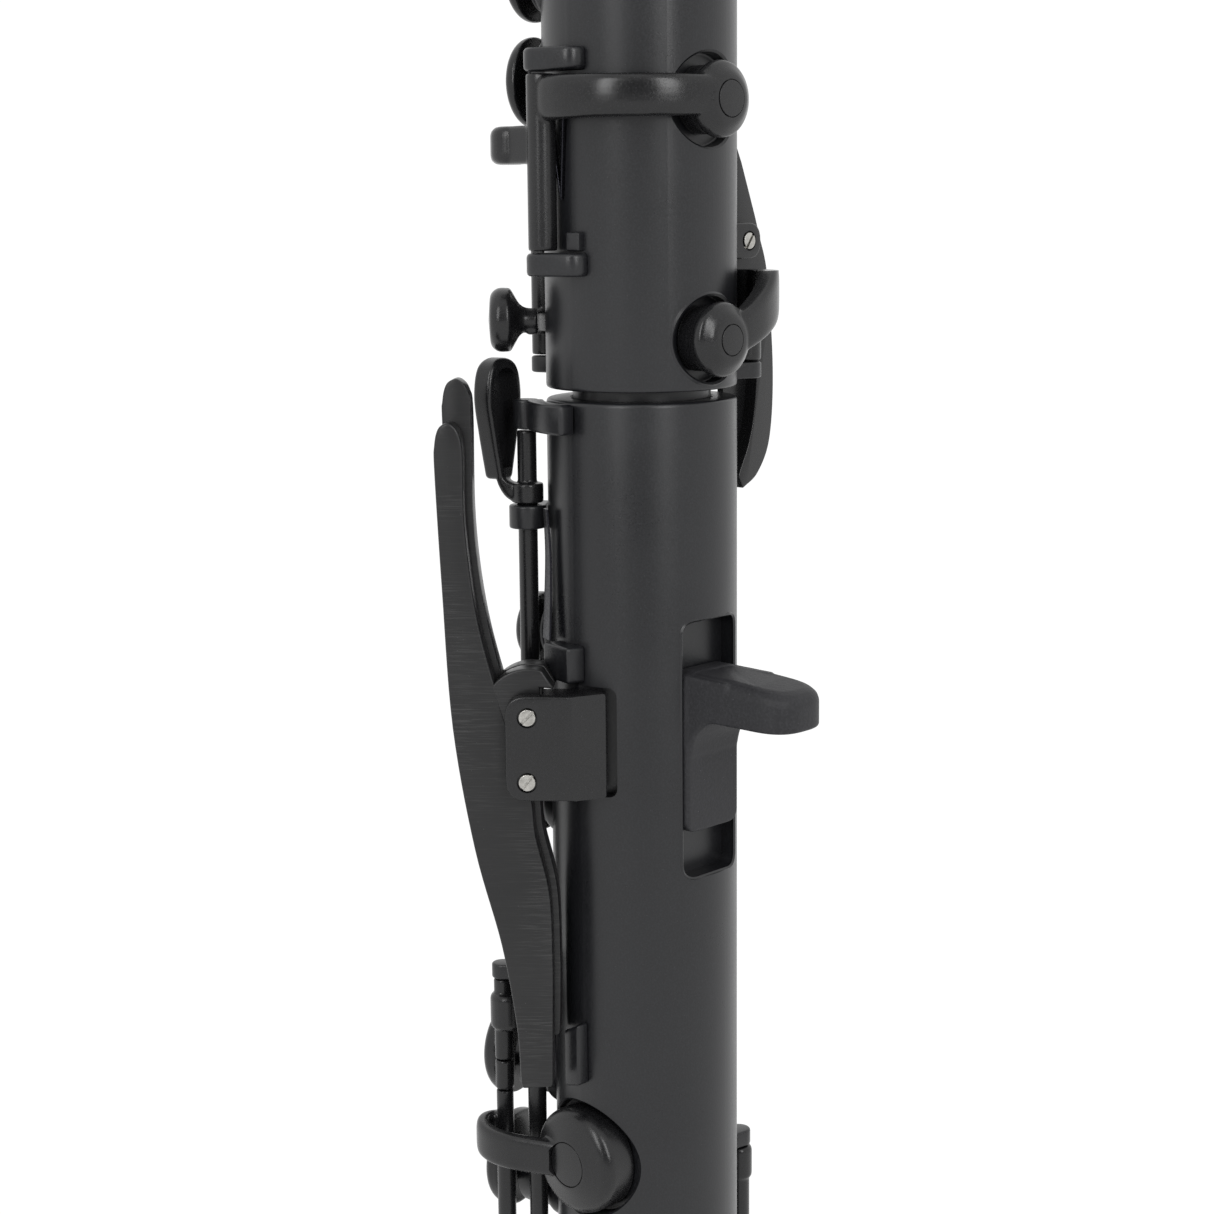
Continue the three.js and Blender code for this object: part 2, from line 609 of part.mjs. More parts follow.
function sideLeverPin() {
  const { pivot: [reach, z], near, far } = SIDE_LEVER;
  const onPin = facing(180).multiply(new THREE.Matrix4().makeTranslation(reach, z, 0));
  const shank = solid(rod(LEVER_PIN_R, near - 1.6, far + 2, 8).applyMatrix4(onPin));
  const head = solid(rod(1.75, far + 1.9, far + 2.8, 8).applyMatrix4(onPin));
  const slot = new THREE.BoxGeometry(4, 0.5, 1).rotateZ(radians(35)).translate(0, 0, far + 2.95);
  return cut(join(shank, head), solid(slot.applyMatrix4(onPin)));
}

// The button for the left little finger stands on a stalk at the player's left.
const BUTTON = { azimuth: 46, z: 14 };
const BUTTON_ROD = { azimuth: 14, reach: 24.2 };
const BUTTON_POSTS = [
  [BUTTON_ROD.azimuth, BUTTON_ROD.reach, 30.3, 33.5, 2.8],
  [BUTTON_ROD.azimuth, BUTTON_ROD.reach, 2.2, 5.7, 2.8],
];

function buttonKey() {
  const { azimuth, z } = BUTTON;
  const profile = [
    [0, 21.4], [2.4, 21.4], [2.4, 25.2], [6.7, 27.2], [6.7, 30.2], [5.6, 31.3], [0, 31.9],
  ];
  const button = solid(turned(profile, 12).applyMatrix4(facing(azimuth, 0, z)));
  return join(
    button,
    ringStretch(BUTTON_ROD.azimuth, azimuth + 4, 21.4, 24.2, z - 3.2, z + 1.6),
    uprightRod(BUTTON_ROD.azimuth, BUTTON_ROD.reach, 2.7, 6, 30),
    ringStretch(334, 360 + BUTTON_ROD.azimuth, 21.6, 24.2, 17, 23),
    radialDisc(334, 20, 7, 20.4, 25, 1.2),
  );
}

// Rocking levers on the top of the upper joint, hinged across the bore.
const REGISTER_KEY = { azimuth: 180, pad: 352, pivot: 300, touch: 226, cup: 5.5 };
const THROAT_A = { azimuth: 0, pad: 348, pivot: 318, touch: 236, cup: 6.5 };
const THROAT_G = { azimuth: 58, pad: 322, pivot: 292, touch: 214, cup: 6.5 };
const ROCKER_REACH = 25.6;      // the height of a rocker's axle over the bore

function rockingKey({ azimuth, pad, pivot, touch, cup }) {
  const across = around(azimuth + 90, 1, 0);
  const path = new THREE.CatmullRomCurve3([
    around(azimuth, 23.6, pad),
    around(azimuth, 24.4, pivot + 12),
    around(azimuth, ROCKER_REACH, pivot),
    around(azimuth, 25.6, (pivot + touch) / 2),
    around(azimuth, 25.4, touch + 9),
    around(azimuth, 25.8, touch - 9),
  ]);
  const rings = Array.from({ length: 11 }, (_, step) => {
    const t = step / 10;
    const halfWidth = 2.2 + (t > 0.72 ? 4.2 * Math.sin(Math.PI * (t - 0.72) / 0.34) : 0);
    const out = around(azimuth, 1, 0);
    const centre = path.getPoint(t);
    return [[1, 1], [-1, 1], [-1, -1], [1, -1]].map(([side, rise]) => (
      centre.clone().addScaledVector(across, side * halfWidth).addScaledVector(out, rise * 1.3)));
  });
  const axle = rod(2.2, -7, 7).rotateY(Math.PI / 2)
    .applyMatrix4(facing(azimuth, ROCKER_REACH, pivot));
  return join(skin(rings), radialDisc(azimuth, pad, cup, 20.4, 24.4, 1), solid(axle));
}

function rockerPost({ azimuth, pivot }) {
  const foot = block(azimuth, [-10.8, 10.8], [pivot - 3.4, pivot + 3.4], [14, 28.2]);
  const gap = block(azimuth, [-7.3, 7.3], [pivot - 9, pivot + 9], [14, 40]);
  const ears = foot.subtract(gap);
  const saddle = block(azimuth, [-9, 9], [pivot - 3.4, pivot + 3.4], [14, 22.6]);
  return join(ears, saddle).subtract(solid(rod(SKIN_R, pivot - 9, pivot + 9, ROUND)));
}

// The thumb plate is a round plateau on a hinge beside it.
const THUMB_KEY = { z: 190, rod: { azimuth: 216, reach: 24.4 } };
const BACK_POSTS = [
  [THUMB_KEY.rod.azimuth, THUMB_KEY.rod.reach, 203.3, 206.7, 2.9],
  [THUMB_KEY.rod.azimuth, THUMB_KEY.rod.reach, 173.3, 176.7, 2.9],
  [SIDE_ROD.azimuth, SIDE_ROD.reach, 0.8, 4.3, 3],
];

function thumbKey() {
  const { z, rod: { azimuth, reach } } = THUMB_KEY;
  return join(
    radialDisc(180, z, 9, 22.6, 27.2, 1.4),
    ringStretch(182, azimuth, 23, 25.6, z - 3, z + 3),
    uprightRod(azimuth, reach, 2.7, 177, 203),
  );
}

// ---------------------------------------------------------------- stack and low keys

// A plateau key: a round cup in front, an arm round the tube, and a hinge tube at the right.
function stackKey({ z, cup, face, tube: [low, high], second, chimney: rim }) {
  const { azimuth, reach } = FINGER_ROD;
  const arms = [z, second].filter((height) => height !== undefined).flatMap((height) => [
    radialDisc(FRONT, height, cup, rim + STACK_LIFT, face, 1.2),
    ringStretch(azimuth, 360 + FRONT, ARM_INNER, ARM_OUTER, height - 2.8, height + 2.8, 5),
  ]);
  return join(uprightRod(azimuth, reach, 2.7, low, high), ...arms);
}

function openPadKey({ z, cup, face, tube: [low, high] }) {
  const { azimuth, reach } = OUTBOARD;
  const underside = face - 4;
  return join(
    uprightRod(azimuth, reach, 2.1, low, high),
    radialDisc(FRONT, z, cup, underside, face, 1.2),
    planBar([azimuth, reach], [FRONT + 8, underside + 2], 1.7, z - 2.2, z + 2.2),
  );
}

function tabKey() {
  const { azimuth, reach } = OUTBOARD;
  return join(
    uprightRod(azimuth, reach, 2.1, -149, -130.5),
    planBar([azimuth, reach - 1], [33, 30], 4, -142, -133.6),
  );
}

function aFlatKey() {
  const key = POCKET_KEYS.a_flat;
  const { azimuth, reach } = OUTBOARD;
  const arm = sweptBar([
    around(84, 23.4, -166), around(70, 28, -166), around(57, 34.4, -166),
    around(46, 36.4, -165.6), around(39, 34.2, -165.4), around(azimuth, reach, -165.4),
  ], 8, 3.4, 11);
  return join(flatCup(key), arm, uprightRod(azimuth, reach, 1.9, -171.3, -156.3));
}

function lowKey({ azimuth, reach, top, pad, padAzimuth, cup, face, chimney: rim }) {
  return join(
    uprightRod(azimuth, reach, 2.4, pad - 8, top),
    radialDisc(padAzimuth, pad, cup, rim + LOW_LIFT, face, 1.4),
    ringStretch(azimuth, padAzimuth, face - 2.6, face - 0.4, pad - 3.4, pad + 3.4, 5),
    planBar([azimuth, reach], [azimuth + 14, reach + 4.6], 3, top - 8, top),
  );
}

const SLIVER = { azimuth: 275, z: -58.6 };
const SLIVER_ROD = { azimuth: 302, reach: 24.2 };
const SLIVER_POSTS = [
  [SLIVER_ROD.azimuth, SLIVER_ROD.reach, -47.7, -44.5, 2.6],
  [SLIVER_ROD.azimuth, SLIVER_ROD.reach, -95.5, -92.3, 2.6],
];

function sliverKey() {
  const { azimuth, z } = SLIVER;
  return join(
    uprightRod(SLIVER_ROD.azimuth, SLIVER_ROD.reach, 2.3, -92, -48),
    radialDisc(azimuth, z, 6.5, 20.5, 26, 1.2),
    ringStretch(azimuth, SLIVER_ROD.azimuth, 21.4, 24, z - 2.6, z + 2.6),
    planBar([SLIVER_ROD.azimuth, SLIVER_ROD.reach], [311, 27.6], 1.7, -85, -72),
  );
}

// ---------------------------------------------------------------- leaf key and its neighbours

const LEAF_ROD = { azimuth: 45.7, reach: 24.3 };
const LEAF_FACING = 14;        // the touch faces forward, for a finger from the front

function leafKey() {
  const { azimuth, reach } = LEAF_ROD;
  const leaf = new THREE.Shape();           // seen from the front: pointed foot, round head
  leaf.moveTo(-2.2, -20);
  const through = (...points) => leaf.splineThru(points.map(([x, y]) => new THREE.Vector2(x, y)));
  through([-4.6, -10], [-6.2, -2], [-4.6, 4.3], [0, 6.2]);
  through([4.6, 4.3], [6.2, -2], [4.6, -10], [2.2, -20]);
  const options = { depth: 4.6, bevelEnabled: false, curveSegments: 2 };
  const centre = around(45.3, 28.4, 0);
  const place = facing(LEAF_FACING).setPosition(centre.x, centre.y, 0);
  const plate = new THREE.ExtrudeGeometry(leaf, options).applyMatrix4(place);
  return join(
    uprightRod(azimuth, reach, 3.4, -24.4, -20.2),
    uprightRod(azimuth, reach, 2.05, -126.2, -9.1),
    solid(plate),
    planBar([azimuth, reach], [45.4, 28.8], 2.2, -24.2, -18.2),
  );
}

// A hinge tube between the two outboard posts, in line with the leaf key's.
function innerTube() {
  return uprightRod(LEAF_ROD.azimuth, LEAF_ROD.reach, 2.05, -196, -130.5);
}

function leafPostTop() {
  const { azimuth, reach } = LEAF_ROD;
  return join(
    ringStretch(azimuth, 92.5, SKIN_R, 24.4, -8.8, -JOINT_GAP - CLEARANCE),
    uprightRod(azimuth, reach, 2.8, -8.8, -JOINT_GAP - CLEARANCE),
  ).subtract(solid(rod(SKIN_R, -12, 2, ROUND)));
}

function leafPostMid() {
  const { azimuth, reach } = LEAF_ROD;
  const head = join(
    uprightRod(azimuth, reach, 4, -29.8, -24.8),
    ringStretch(28, azimuth, SKIN_R, 23.6, -29.8, -24.8),
  );
  return head.subtract(join(
    uprightRod(azimuth, reach, 2.4, -31, -23),
    solid(rod(SKIN_R, -32, -22, ROUND)),
  ));
}

function springBlock() {
  return block(80, [-3.4, 6], [-60.2, -52.6], [18.5, 23.4])
    .subtract(solid(rod(SKIN_R, -64, -50, ROUND)));
}

function leafSpring() {
  return block(68, [-2.4, 2.4], [-52.2, -24.6], [20.9, 22.4]);
}

function stopBlock() {
  const shape = new THREE.Shape();
  shape.moveTo(-2.2, -149.2);
  shape.lineTo(2.2, -148);
  shape.lineTo(2.2, -134.4);
  shape.lineTo(-2.2, -136.6);
  return flatPiece(90, shape, 18.5, 22.9).subtract(solid(rod(SKIN_R, -152, -130, ROUND)));
}

// ---------------------------------------------------------------- neck and mouthpiece

const NECK_POINTS = [[0, UPPER_TOP + 2], [1, 425], [10, 460], [34, 486], [68, 495], [100, 490],
  [122, 482]];
const neckPath = new THREE.CatmullRomCurve3(NECK_POINTS.map(([y, z]) => new THREE.Vector3(0, y, z)));
const NECK_BORE_R = 10;
const MOUTHPIECE_LENGTH = 92;

function neck() {
  const [foot, rim] = [UPPER_TOP - 17.6, UPPER_TOP + CLEARANCE];
  const tenon = solid(turned([
    [NECK_BORE_R, foot], [TENON_R, foot], [TENON_R, rim], [17.6, rim], [17.6, rim + 6],
    [NECK_BORE_R, rim + 6],
  ], 24));
  const tube = pipe(neckPath, 10, 12, (t) => 15.2 - 3 * t, (t) => NECK_BORE_R - 1.2 * t);
  return join(tenon, tube);
}

// Local axes at the neck's end: Z along the mouthpiece, Y towards the reed side.
function mouthpieceAxes(offset) {
  const end = neckPath.getPoint(1);
  const along = neckPath.getTangent(1);
  const across = new THREE.Vector3(1, 0, 0);
  const reedSide = new THREE.Vector3().crossVectors(along, across);
  return new THREE.Matrix4().makeBasis(across, reedSide, along)
    .setPosition(end.addScaledVector(along, offset));
}

// Sections from the shank to the tip: each has a half width, and a top and a bottom height.
const MOUTHPIECE_SECTIONS = [
  [0, 14.6, 14.6, -14.6], [26, 15, 15, -15], [30, 15.2, 15.2, -14], [50, 13.6, 12.4, -12.6],
  [66, 10.8, 6.4, -11.4], [82, 8.6, -2.6, -9.8], [MOUTHPIECE_LENGTH, 7.9, -7.4, -9.2],
];

function mouthpiece() {
  const sides = 16;
  const rings = MOUTHPIECE_SECTIONS.map(([z, halfWidth, top, bottom]) => (
    Array.from({ length: sides }, (_, i) => {
      const angle = (2 * Math.PI * i) / sides;
      const y = (top + bottom) / 2 + ((top - bottom) / 2) * Math.sin(angle);
      return new THREE.Vector3(halfWidth * Math.cos(angle), y, z);
    })));
  const table = solid(new THREE.BoxGeometry(40, 10, 70).translate(0, -16.2, 62));
  const chamber = solid(new THREE.BoxGeometry(11, 14, 34).translate(0, -9, 66));
  const bore = solid(rod(8.2, -2, 52, 14));
  const counterbore = solid(rod(13.1, -2, 13, 16));
  return cut(skin(rings), table, chamber, bore, counterbore).transform(
    mouthpieceAxes(-12).toArray());
}

function reed() {
  const side = new THREE.Shape();
  side.moveTo(0, 29);
  side.lineTo(0, MOUTHPIECE_LENGTH - 0.6);
  side.lineTo(-0.5, MOUTHPIECE_LENGTH - 0.6);
  side.lineTo(-2.6, 58);
  side.lineTo(-2.8, 29);
  const geometry = new THREE.ExtrudeGeometry(side, { depth: 13, bevelEnabled: false });
  geometry.applyMatrix4(new THREE.Matrix4().makeBasis(
    new THREE.Vector3(0, 1, 0), new THREE.Vector3(0, 0, 1), new THREE.Vector3(1, 0, 0)));
  geometry.translate(-6.5, -11.2 - CLEARANCE, 0);
  return solid(geometry).transform(mouthpieceAxes(-12).toArray());
}

function ligature() {
  const band = solid(turned([[16.2, 31], [17.3, 31], [17.3, 48], [16.2, 48]], 20));
  const lug = solid(new THREE.BoxGeometry(9, 4, 15).translate(0, -18, 39.5));
  const screwHole = rod(1.5, -10, 10, 8).rotateY(Math.PI / 2).translate(0, -18.2, 39.5);
  return cut(join(band, lug), solid(screwHole)).transform(mouthpieceAxes(-12).toArray());
}

function ligatureScrew() {
  const shank = rod(1.1, -6, 9).rotateY(Math.PI / 2);
  const head = rod(3.2, 8.8, 12, 14).rotateY(Math.PI / 2);
  return join(solid(shank), solid(head)).translate(0, -18.2, 39.5)
    .transform(mouthpieceAxes(-12).toArray());
}

// ---------------------------------------------------------------- bell, strap ring and peg

const BELL_TOP = LOWER_END - CLEARANCE;
const BELL_POINTS = [[0, BELL_TOP - 17], [0, -474], [-14, -508], [-46, -522], [-78, -508],
  [-93, -476], [-103, -440], [-113, -404]];
const bellPath = new THREE.CatmullRomCurve3(BELL_POINTS.map(([y, z]) => new THREE.Vector3(0, y, z)));
const BELL_MOUTH_R = 54;
const BOW_END = 0.55;           // where the flare is fixed to the bow
const [BOW_STEPS, BELL_STEPS, BELL_SIDES] = [8, 7, 16];

// The bell's bore widens slowly round the bow, then flares to its mouth.
function bellBoreR(t) {
  const flare = Math.max(0, (t - 0.55) / 0.45) ** 2.4;
  return 12.6 + 8 * t + (BELL_MOUTH_R - 20.6) * flare;
}

function bellOuterR(t) {
  return bellBoreR(t) + 4.2 - 1.2 * t;
}

// The bow turns the bore upward, and carries the socket for the lower joint.
function bellBow() {
  const [floor, deep] = [BELL_TOP - 17, BELL_TOP - 22];
  const socket = solid(turned([
    [BELL_TENON_R + CLEARANCE, BELL_TOP], [22.4, BELL_TOP], [22.4, BELL_TOP - 15],
    [16.5, deep], [12.8, deep], [12.8, floor], [BELL_TENON_R + CLEARANCE, floor],
  ], 28));
  const tube = pipe(bellPath, BOW_STEPS, BELL_SIDES, bellOuterR, bellBoreR, [0, BOW_END]);
  return join(socket, tube);
}

function bell() {
  const start = BOW_END + 0.0015;   // a hair's breadth above the bow's rim
  return pipe(bellPath, BELL_STEPS, BELL_SIDES, bellOuterR, bellBoreR, [start, 1]);
}

function strapRing() {
  const loop = new THREE.TorusGeometry(8, 1.8, 6, 16).rotateY(Math.PI / 2);
  return solid(loop.translate(0, BODY_R + 13.4, STRAP_Z))
    .add(block(180, [-3, 3], [STRAP_Z - 9, STRAP_Z + 9], [SKIN_R, 24.6]));
}

const STRAP_Z = 116;
const PEG = { radius: 4, top: 190, clampLow: 150, clampHigh: 176 };

function pegClamp() {
  const lug = new THREE.BoxGeometry(16, 34, PEG.clampHigh - PEG.clampLow)
    .translate(0, -13, (PEG.clampLow + PEG.clampHigh) / 2);
  const barrel = rod(8.4, PEG.clampLow, PEG.clampHigh, 20);
  const hole = rod(PEG.radius + CLEARANCE, PEG.clampLow - 5, PEG.clampHigh + 5, 16);
  const screwHole = rod(2 + CLEARANCE, 3, 12, 8).rotateX(-Math.PI / 2).translate(0, 0, 163);
  const roomAt = (t) => bellOuterR(t) + CLEARANCE;
  const bow = pipe(bellPath, BOW_STEPS, BELL_SIDES, roomAt, null, [0, BOW_END])
    .translate(0, -PEG_OFFSET, JOINT_LINE_Z);
  return cut(join(solid(lug), solid(barrel)), solid(hole), solid(screwHole), bow);
}

function pegScrew() {
  const shank = rod(2, 4.5, 13, 8);
  const head = new THREE.BoxGeometry(14, 3.4, 9).translate(0, 0, 17);
  return join(solid(shank.rotateX(-Math.PI / 2)), solid(head.rotateX(-Math.PI / 2)))
    .translate(0, 0, 163);
}

// ---------------------------------------------------------------- assembly

place('upper_joint', upperJoint(), bodyPlastic);
place('lower_joint', lowerJoint(), bodyPlastic);
place('tenon_cork', solid(turned([
  [TENON_R - 1, -15.6], [TENON_R + 0.1, -15.6], [TENON_R + 0.1, -4.4], [TENON_R - 1, -4.4],
], 24)), cork);
place('neck_ring', solid(turned([
  [SKIN_R, UPPER_TOP - 16], [22.2, UPPER_TOP - 15], [22.2, UPPER_TOP - 1], [SKIN_R, UPPER_TOP],
], 24)), nickel);
place('bell_bow', bellBow(), bodyPlastic);
place('bell', bell(), bodyPlastic);

place('thumb_rest', thumbRest(), softRubber);
place('strap_ring', strapRing(), nickel);

place('lever_block', leverBlock(), keyPlastic);
place('lever_pivot_screw', blockScrew(0, 0, 8, 45), nickel);
place('block_screw', blockScrew(-0.2, -13.7, 23.9, 38), nickel);
place('low_e_lever', leftHandLever(-5.8, -147.6, 0, 16.5, 21.5), keyPlastic);
place('low_f_sharp_lever', leftHandLever(2.7, -138, 1.1, 10.8, 15.8), keyPlastic);
place('stop_block', stopBlock(), bodyPlastic);

place('c_sharp_key', cSharpKey(), keyPlastic);
place('c_sharp_post_upper', clipPost(63.7, 68.4), bodyPlastic);
place('c_sharp_post_lower', clipPost(23.2, 28), bodyPlastic);
place('side_b_flat_key', sideKey(), keyPlastic);
place('side_lever', sideLever(), keyPlastic);
place('side_lever_bracket', sideLeverBracket(), keyPlastic);
place('side_lever_screw', sideLeverPin(), nickel);
place('button_key', buttonKey(), keyPlastic);
place('thumb_key', thumbKey(), keyPlastic);

const ROCKERS = { register: REGISTER_KEY, throat_a: THROAT_A, throat_g_sharp: THROAT_G };
for (const [name, key] of Object.entries(ROCKERS)) {
  place(`${name}_key`, rockingKey(key), keyPlastic);
  place(`${name}_post`, rockerPost(key), bodyPlastic);
}

place('leaf_key', leafKey(), keyPlastic);
place('inner_tube', innerTube(), keyPlastic);
place('leaf_post_upper', leafPostTop(), bodyPlastic);
place('leaf_post_lower', leafPostMid(), bodyPlastic);
place('leaf_spring', leafSpring(), springSteel);
place('spring_block', springBlock(), bodyPlastic);

for (const key of STACK_KEYS) {
  place(key.name, stackKey(key), keyPlastic);
}
for (const key of OPEN_PADS) {
  place(key.name, openPadKey(key), keyPlastic);
}
for (const key of LOW_KEYS) {
  place(key.name, lowKey(key), keyPlastic);
}
place('tab_key', tabKey(), keyPlastic);
place('a_flat_key', aFlatKey(), keyPlastic);
place('sliver_key', sliverKey(), keyPlastic);

place('neck', neck(), bodyPlastic);
place('mouthpiece', mouthpiece(), ebonite);
place('reed', reed(), cane);
place('ligature', ligature(), nickel);
place('ligature_screw', ligatureScrew(), nickel);

place('peg_clamp', pegClamp(), nickel, instrument);
place('peg_screw', pegScrew(), nickel, instrument);
place('peg_rod', solid(rod(PEG.radius, 16, PEG.top, 16)), nickel, instrument);
place('peg_foot', solid(turned([
  [0, 0], [6, 0], [7, 2], [5.4, 15.7], [0, 15.7],
], 20)), softRubber, instrument);

export default instrument;
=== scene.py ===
# Bass clarinet: the fine surface of every piece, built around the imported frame.
#
# Shapes are drawn in millimetres around the bore, as azimuth (0 front, 90 player's left, 180 back,
# 270 right), reach from the bore's axis, and height above the joint line. ORIGIN carries them
# into the row frame, in metres.

import math

import bmesh
import bpy
import numpy as np
from mathutils import Matrix, Vector


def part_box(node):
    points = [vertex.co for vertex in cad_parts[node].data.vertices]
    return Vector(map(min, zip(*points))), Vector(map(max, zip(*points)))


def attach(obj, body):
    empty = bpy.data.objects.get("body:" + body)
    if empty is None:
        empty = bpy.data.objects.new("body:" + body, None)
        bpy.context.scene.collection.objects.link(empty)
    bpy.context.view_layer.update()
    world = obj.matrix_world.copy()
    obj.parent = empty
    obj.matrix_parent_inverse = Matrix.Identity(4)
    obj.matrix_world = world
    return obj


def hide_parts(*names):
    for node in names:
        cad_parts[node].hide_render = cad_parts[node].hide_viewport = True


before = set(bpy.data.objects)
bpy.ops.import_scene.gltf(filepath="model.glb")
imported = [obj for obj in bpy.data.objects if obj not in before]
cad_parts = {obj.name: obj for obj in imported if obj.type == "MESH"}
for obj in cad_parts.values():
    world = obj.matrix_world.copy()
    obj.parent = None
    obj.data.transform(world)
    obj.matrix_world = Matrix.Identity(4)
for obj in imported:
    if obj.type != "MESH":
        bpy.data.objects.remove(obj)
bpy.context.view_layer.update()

MM = 0.001
CORK_TOP = -4.4                  # the tenon cork's upper edge, below the joint line
cork_low, cork_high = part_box("tenon_cork")
ORIGIN = np.array([
    (cork_low.x + cork_high.x) / 2,
    (cork_low.y + cork_high.y) / 2,
    cork_high.z - CORK_TOP * MM,
])

BODY_R = 20.0
BORE_R = 11.75
UPPER_TOP = 388.0
LOWER_END = -412.0
JOINT_GAP = 2.2
FRONT = 15                       # azimuth of the finger holes


# ---- camera

CAMERA_AZIMUTH = 135.7           # where the camera stands around the bore
CAMERA_REACH = 474.124
CAMERA_ASIDE = -7.730            # the camera stands this far to its own left of the bore
CAMERA_RISE = 37.684             # above the joint line
CAMERA_PITCH = 0.177033
CAMERA_ROLL = -0.010120
CAMERA_LENS = 66.876
SENSOR_WIDTH = 36


def add_camera():
    out = Vector(axes(CAMERA_AZIMUTH)[2])
    right = Vector((0, 0, 1)).cross(out)
    up = Vector((0, 0, 1))
    ahead = -out * math.cos(CAMERA_PITCH) - up * math.sin(CAMERA_PITCH)
    above = up * math.cos(CAMERA_PITCH) - out * math.sin(CAMERA_PITCH)
    x_axis = right * math.cos(CAMERA_ROLL) + above * math.sin(CAMERA_ROLL)
    y_axis = above * math.cos(CAMERA_ROLL) - right * math.sin(CAMERA_ROLL)
    place_mm = out * CAMERA_REACH + right * CAMERA_ASIDE + up * CAMERA_RISE
    data = bpy.data.cameras.new("camera")
    data.sensor_width = SENSOR_WIDTH
    data.lens = CAMERA_LENS
    data.clip_start = 0.01
    camera = bpy.data.objects.new("camera", data)
    bpy.context.scene.collection.objects.link(camera)
    basis = Matrix((x_axis, y_axis, -ahead)).transposed().to_4x4()
    camera.matrix_world = Matrix.Translation(Vector(ORIGIN) + place_mm * MM) @ basis
    bpy.context.scene.camera = camera


# ---- places and outlines

def axes(azimuth):
    """Right, up and out of a place on the tube seen from outside, as rows."""
    a = math.radians(azimuth)
    return np.array([
        [math.cos(a), math.sin(a), 0.0],
        [0.0, 0.0, 1.0],
        [math.sin(a), -math.cos(a), 0.0],
    ])


def at(azimuth, reach, z=0.0):
    return axes(azimuth)[2] * reach + np.array([0.0, 0.0, z])


def fillet(points, radius, closed=True, steps=4):
    """The polyline with its corners rounded. radius is one number, or one for each point."""
    points = [np.array(p, float) for p in points]
    radii = [radius] * len(points) if np.isscalar(radius) else list(radius)
    result = []
    for i, p in enumerate(points):
        if radii[i] == 0 or (not closed and i in (0, len(points) - 1)):
            result.append(p)
            continue
        before, after = points[i - 1] - p, points[(i + 1) % len(points)] - p
        long_a, long_b = np.linalg.norm(before), np.linalg.norm(after)
        reach = min(radii[i], 0.49 * long_a, 0.49 * long_b)
        start, end = p + before / long_a * reach, p + after / long_b * reach
        for k in range(steps + 1):
            t = k / steps
            result.append((1 - t) ** 2 * start + 2 * t * (1 - t) * p + t * t * end)
    return result


def curve(points, steps=8):
    """A smooth line through the points."""
    p = np.array(points, float)
    p = np.vstack([2 * p[0] - p[1], p, 2 * p[-1] - p[-2]])
    line = []
    for i in range(1, len(p) - 2):
        for k in range(steps):
            t = k / steps
            line.append(0.5 * (
                2 * p[i] + (p[i + 1] - p[i - 1]) * t
                + (2 * p[i - 1] - 5 * p[i] + 4 * p[i + 1] - p[i + 2]) * t * t
                + (3 * p[i] - p[i - 1] - 3 * p[i + 1] + p[i + 2]) * t ** 3))
    line.append(p[-2])
    return line


def rectangle(x0, x1, y0, y1, corner, steps=6):
    return fillet([(x0, y0), (x1, y0), (x1, y1), (x0, y1)], corner, steps=steps)


def circle(radius, count=64, centre=(0, 0)):
    angles = np.linspace(0, 2 * math.pi, count, endpoint=False)
    return [(centre[0] + radius * math.cos(a), centre[1] + radius * math.sin(a)) for a in angles]


# ---- solids: (points, faces)

def skin(rings, looped=False):
    count = len(rings[0])
    points = np.concatenate([np.asarray(ring, float) for ring in rings])
    faces = []
    bands = len(rings) if looped else len(rings) - 1
    for band in range(bands):
        a, b = band * count, ((band + 1) % len(rings)) * count
        faces += [(a + i, a + (i + 1) % count, b + (i + 1) % count, b + i) for i in range(count)]
    if not looped:
        last = (len(rings) - 1) * count
        faces += [tuple(range(count)), tuple(last + i for i in range(count))]
    return points, faces


def lathe(profile, sides=64, azimuth=None, z=0.0, centre=(0.0, 0.0)):
    """A turned solid. The profile closes on itself, or starts and ends on the axis. Its axis is
    upright through centre, or straight out of the tube at an azimuth and a height."""
    angles = np.linspace(0, 2 * math.pi, sides, endpoint=False)
    ring = np.stack([np.cos(angles), np.sin(angles)], 1)
    points, faces, rows = [], [], []
    for r, h in profile:
        if r < 1e-6:
            rows.append([len(points)])
            points.append((0.0, 0.0, h))
        else:
            rows.append(list(range(len(points), len(points) + len(ring))))
            points += [(r * c, r * s, h) for c, s in ring]
    closed = profile[0][0] > 1e-6
    for i in range(len(rows) if closed else len(rows) - 1):
        a, b = rows[i], rows[(i + 1) % len(rows)]
        for k in range(len(ring)):
            n = (k + 1) % len(ring)
            corners = [a[k % len(a)], a[n % len(a)], b[n % len(b)], b[k % len(b)]]
            faces.append(tuple(dict.fromkeys(corners)))
    points = np.array(points)
    if azimuth is None:
        return points + np.array([centre[0], centre[1], 0.0]), faces
    return points @ axes(azimuth) + np.array([0.0, 0.0, z]), faces


def turned(profile, radii, sides=64, azimuth=None, z=0.0, centre=(0.0, 0.0)):
    """A turned solid with its corners rounded. The profile starts and ends on the axis."""
    return lathe(fillet(profile, radii, closed=False), sides, azimuth, z, centre)


def drum(radius, z0, z1, sides, azimuth=None, z=0.0, centre=(0.0, 0.0)):
    return lathe([(0, z0), (radius, z0), (radius, z1), (0, z1)], sides, azimuth, z, centre)


def rod(azimuth, reach, radius, z0, z1, edge=0.35):
    return turned([(0, z0), (radius, z0), (radius, z1), (0, z1)], edge, 40,
                  centre=at(azimuth, reach)[:2])


def prism(outline, azimuth, near, far):
    """An outline of (across, up), as seen from an azimuth, between two distances."""
    flat = np.array(outline, float)
    rings = [np.column_stack([flat, np.full(len(flat), d)]) @ axes(azimuth) for d in (near, far)]
    return skin(rings)


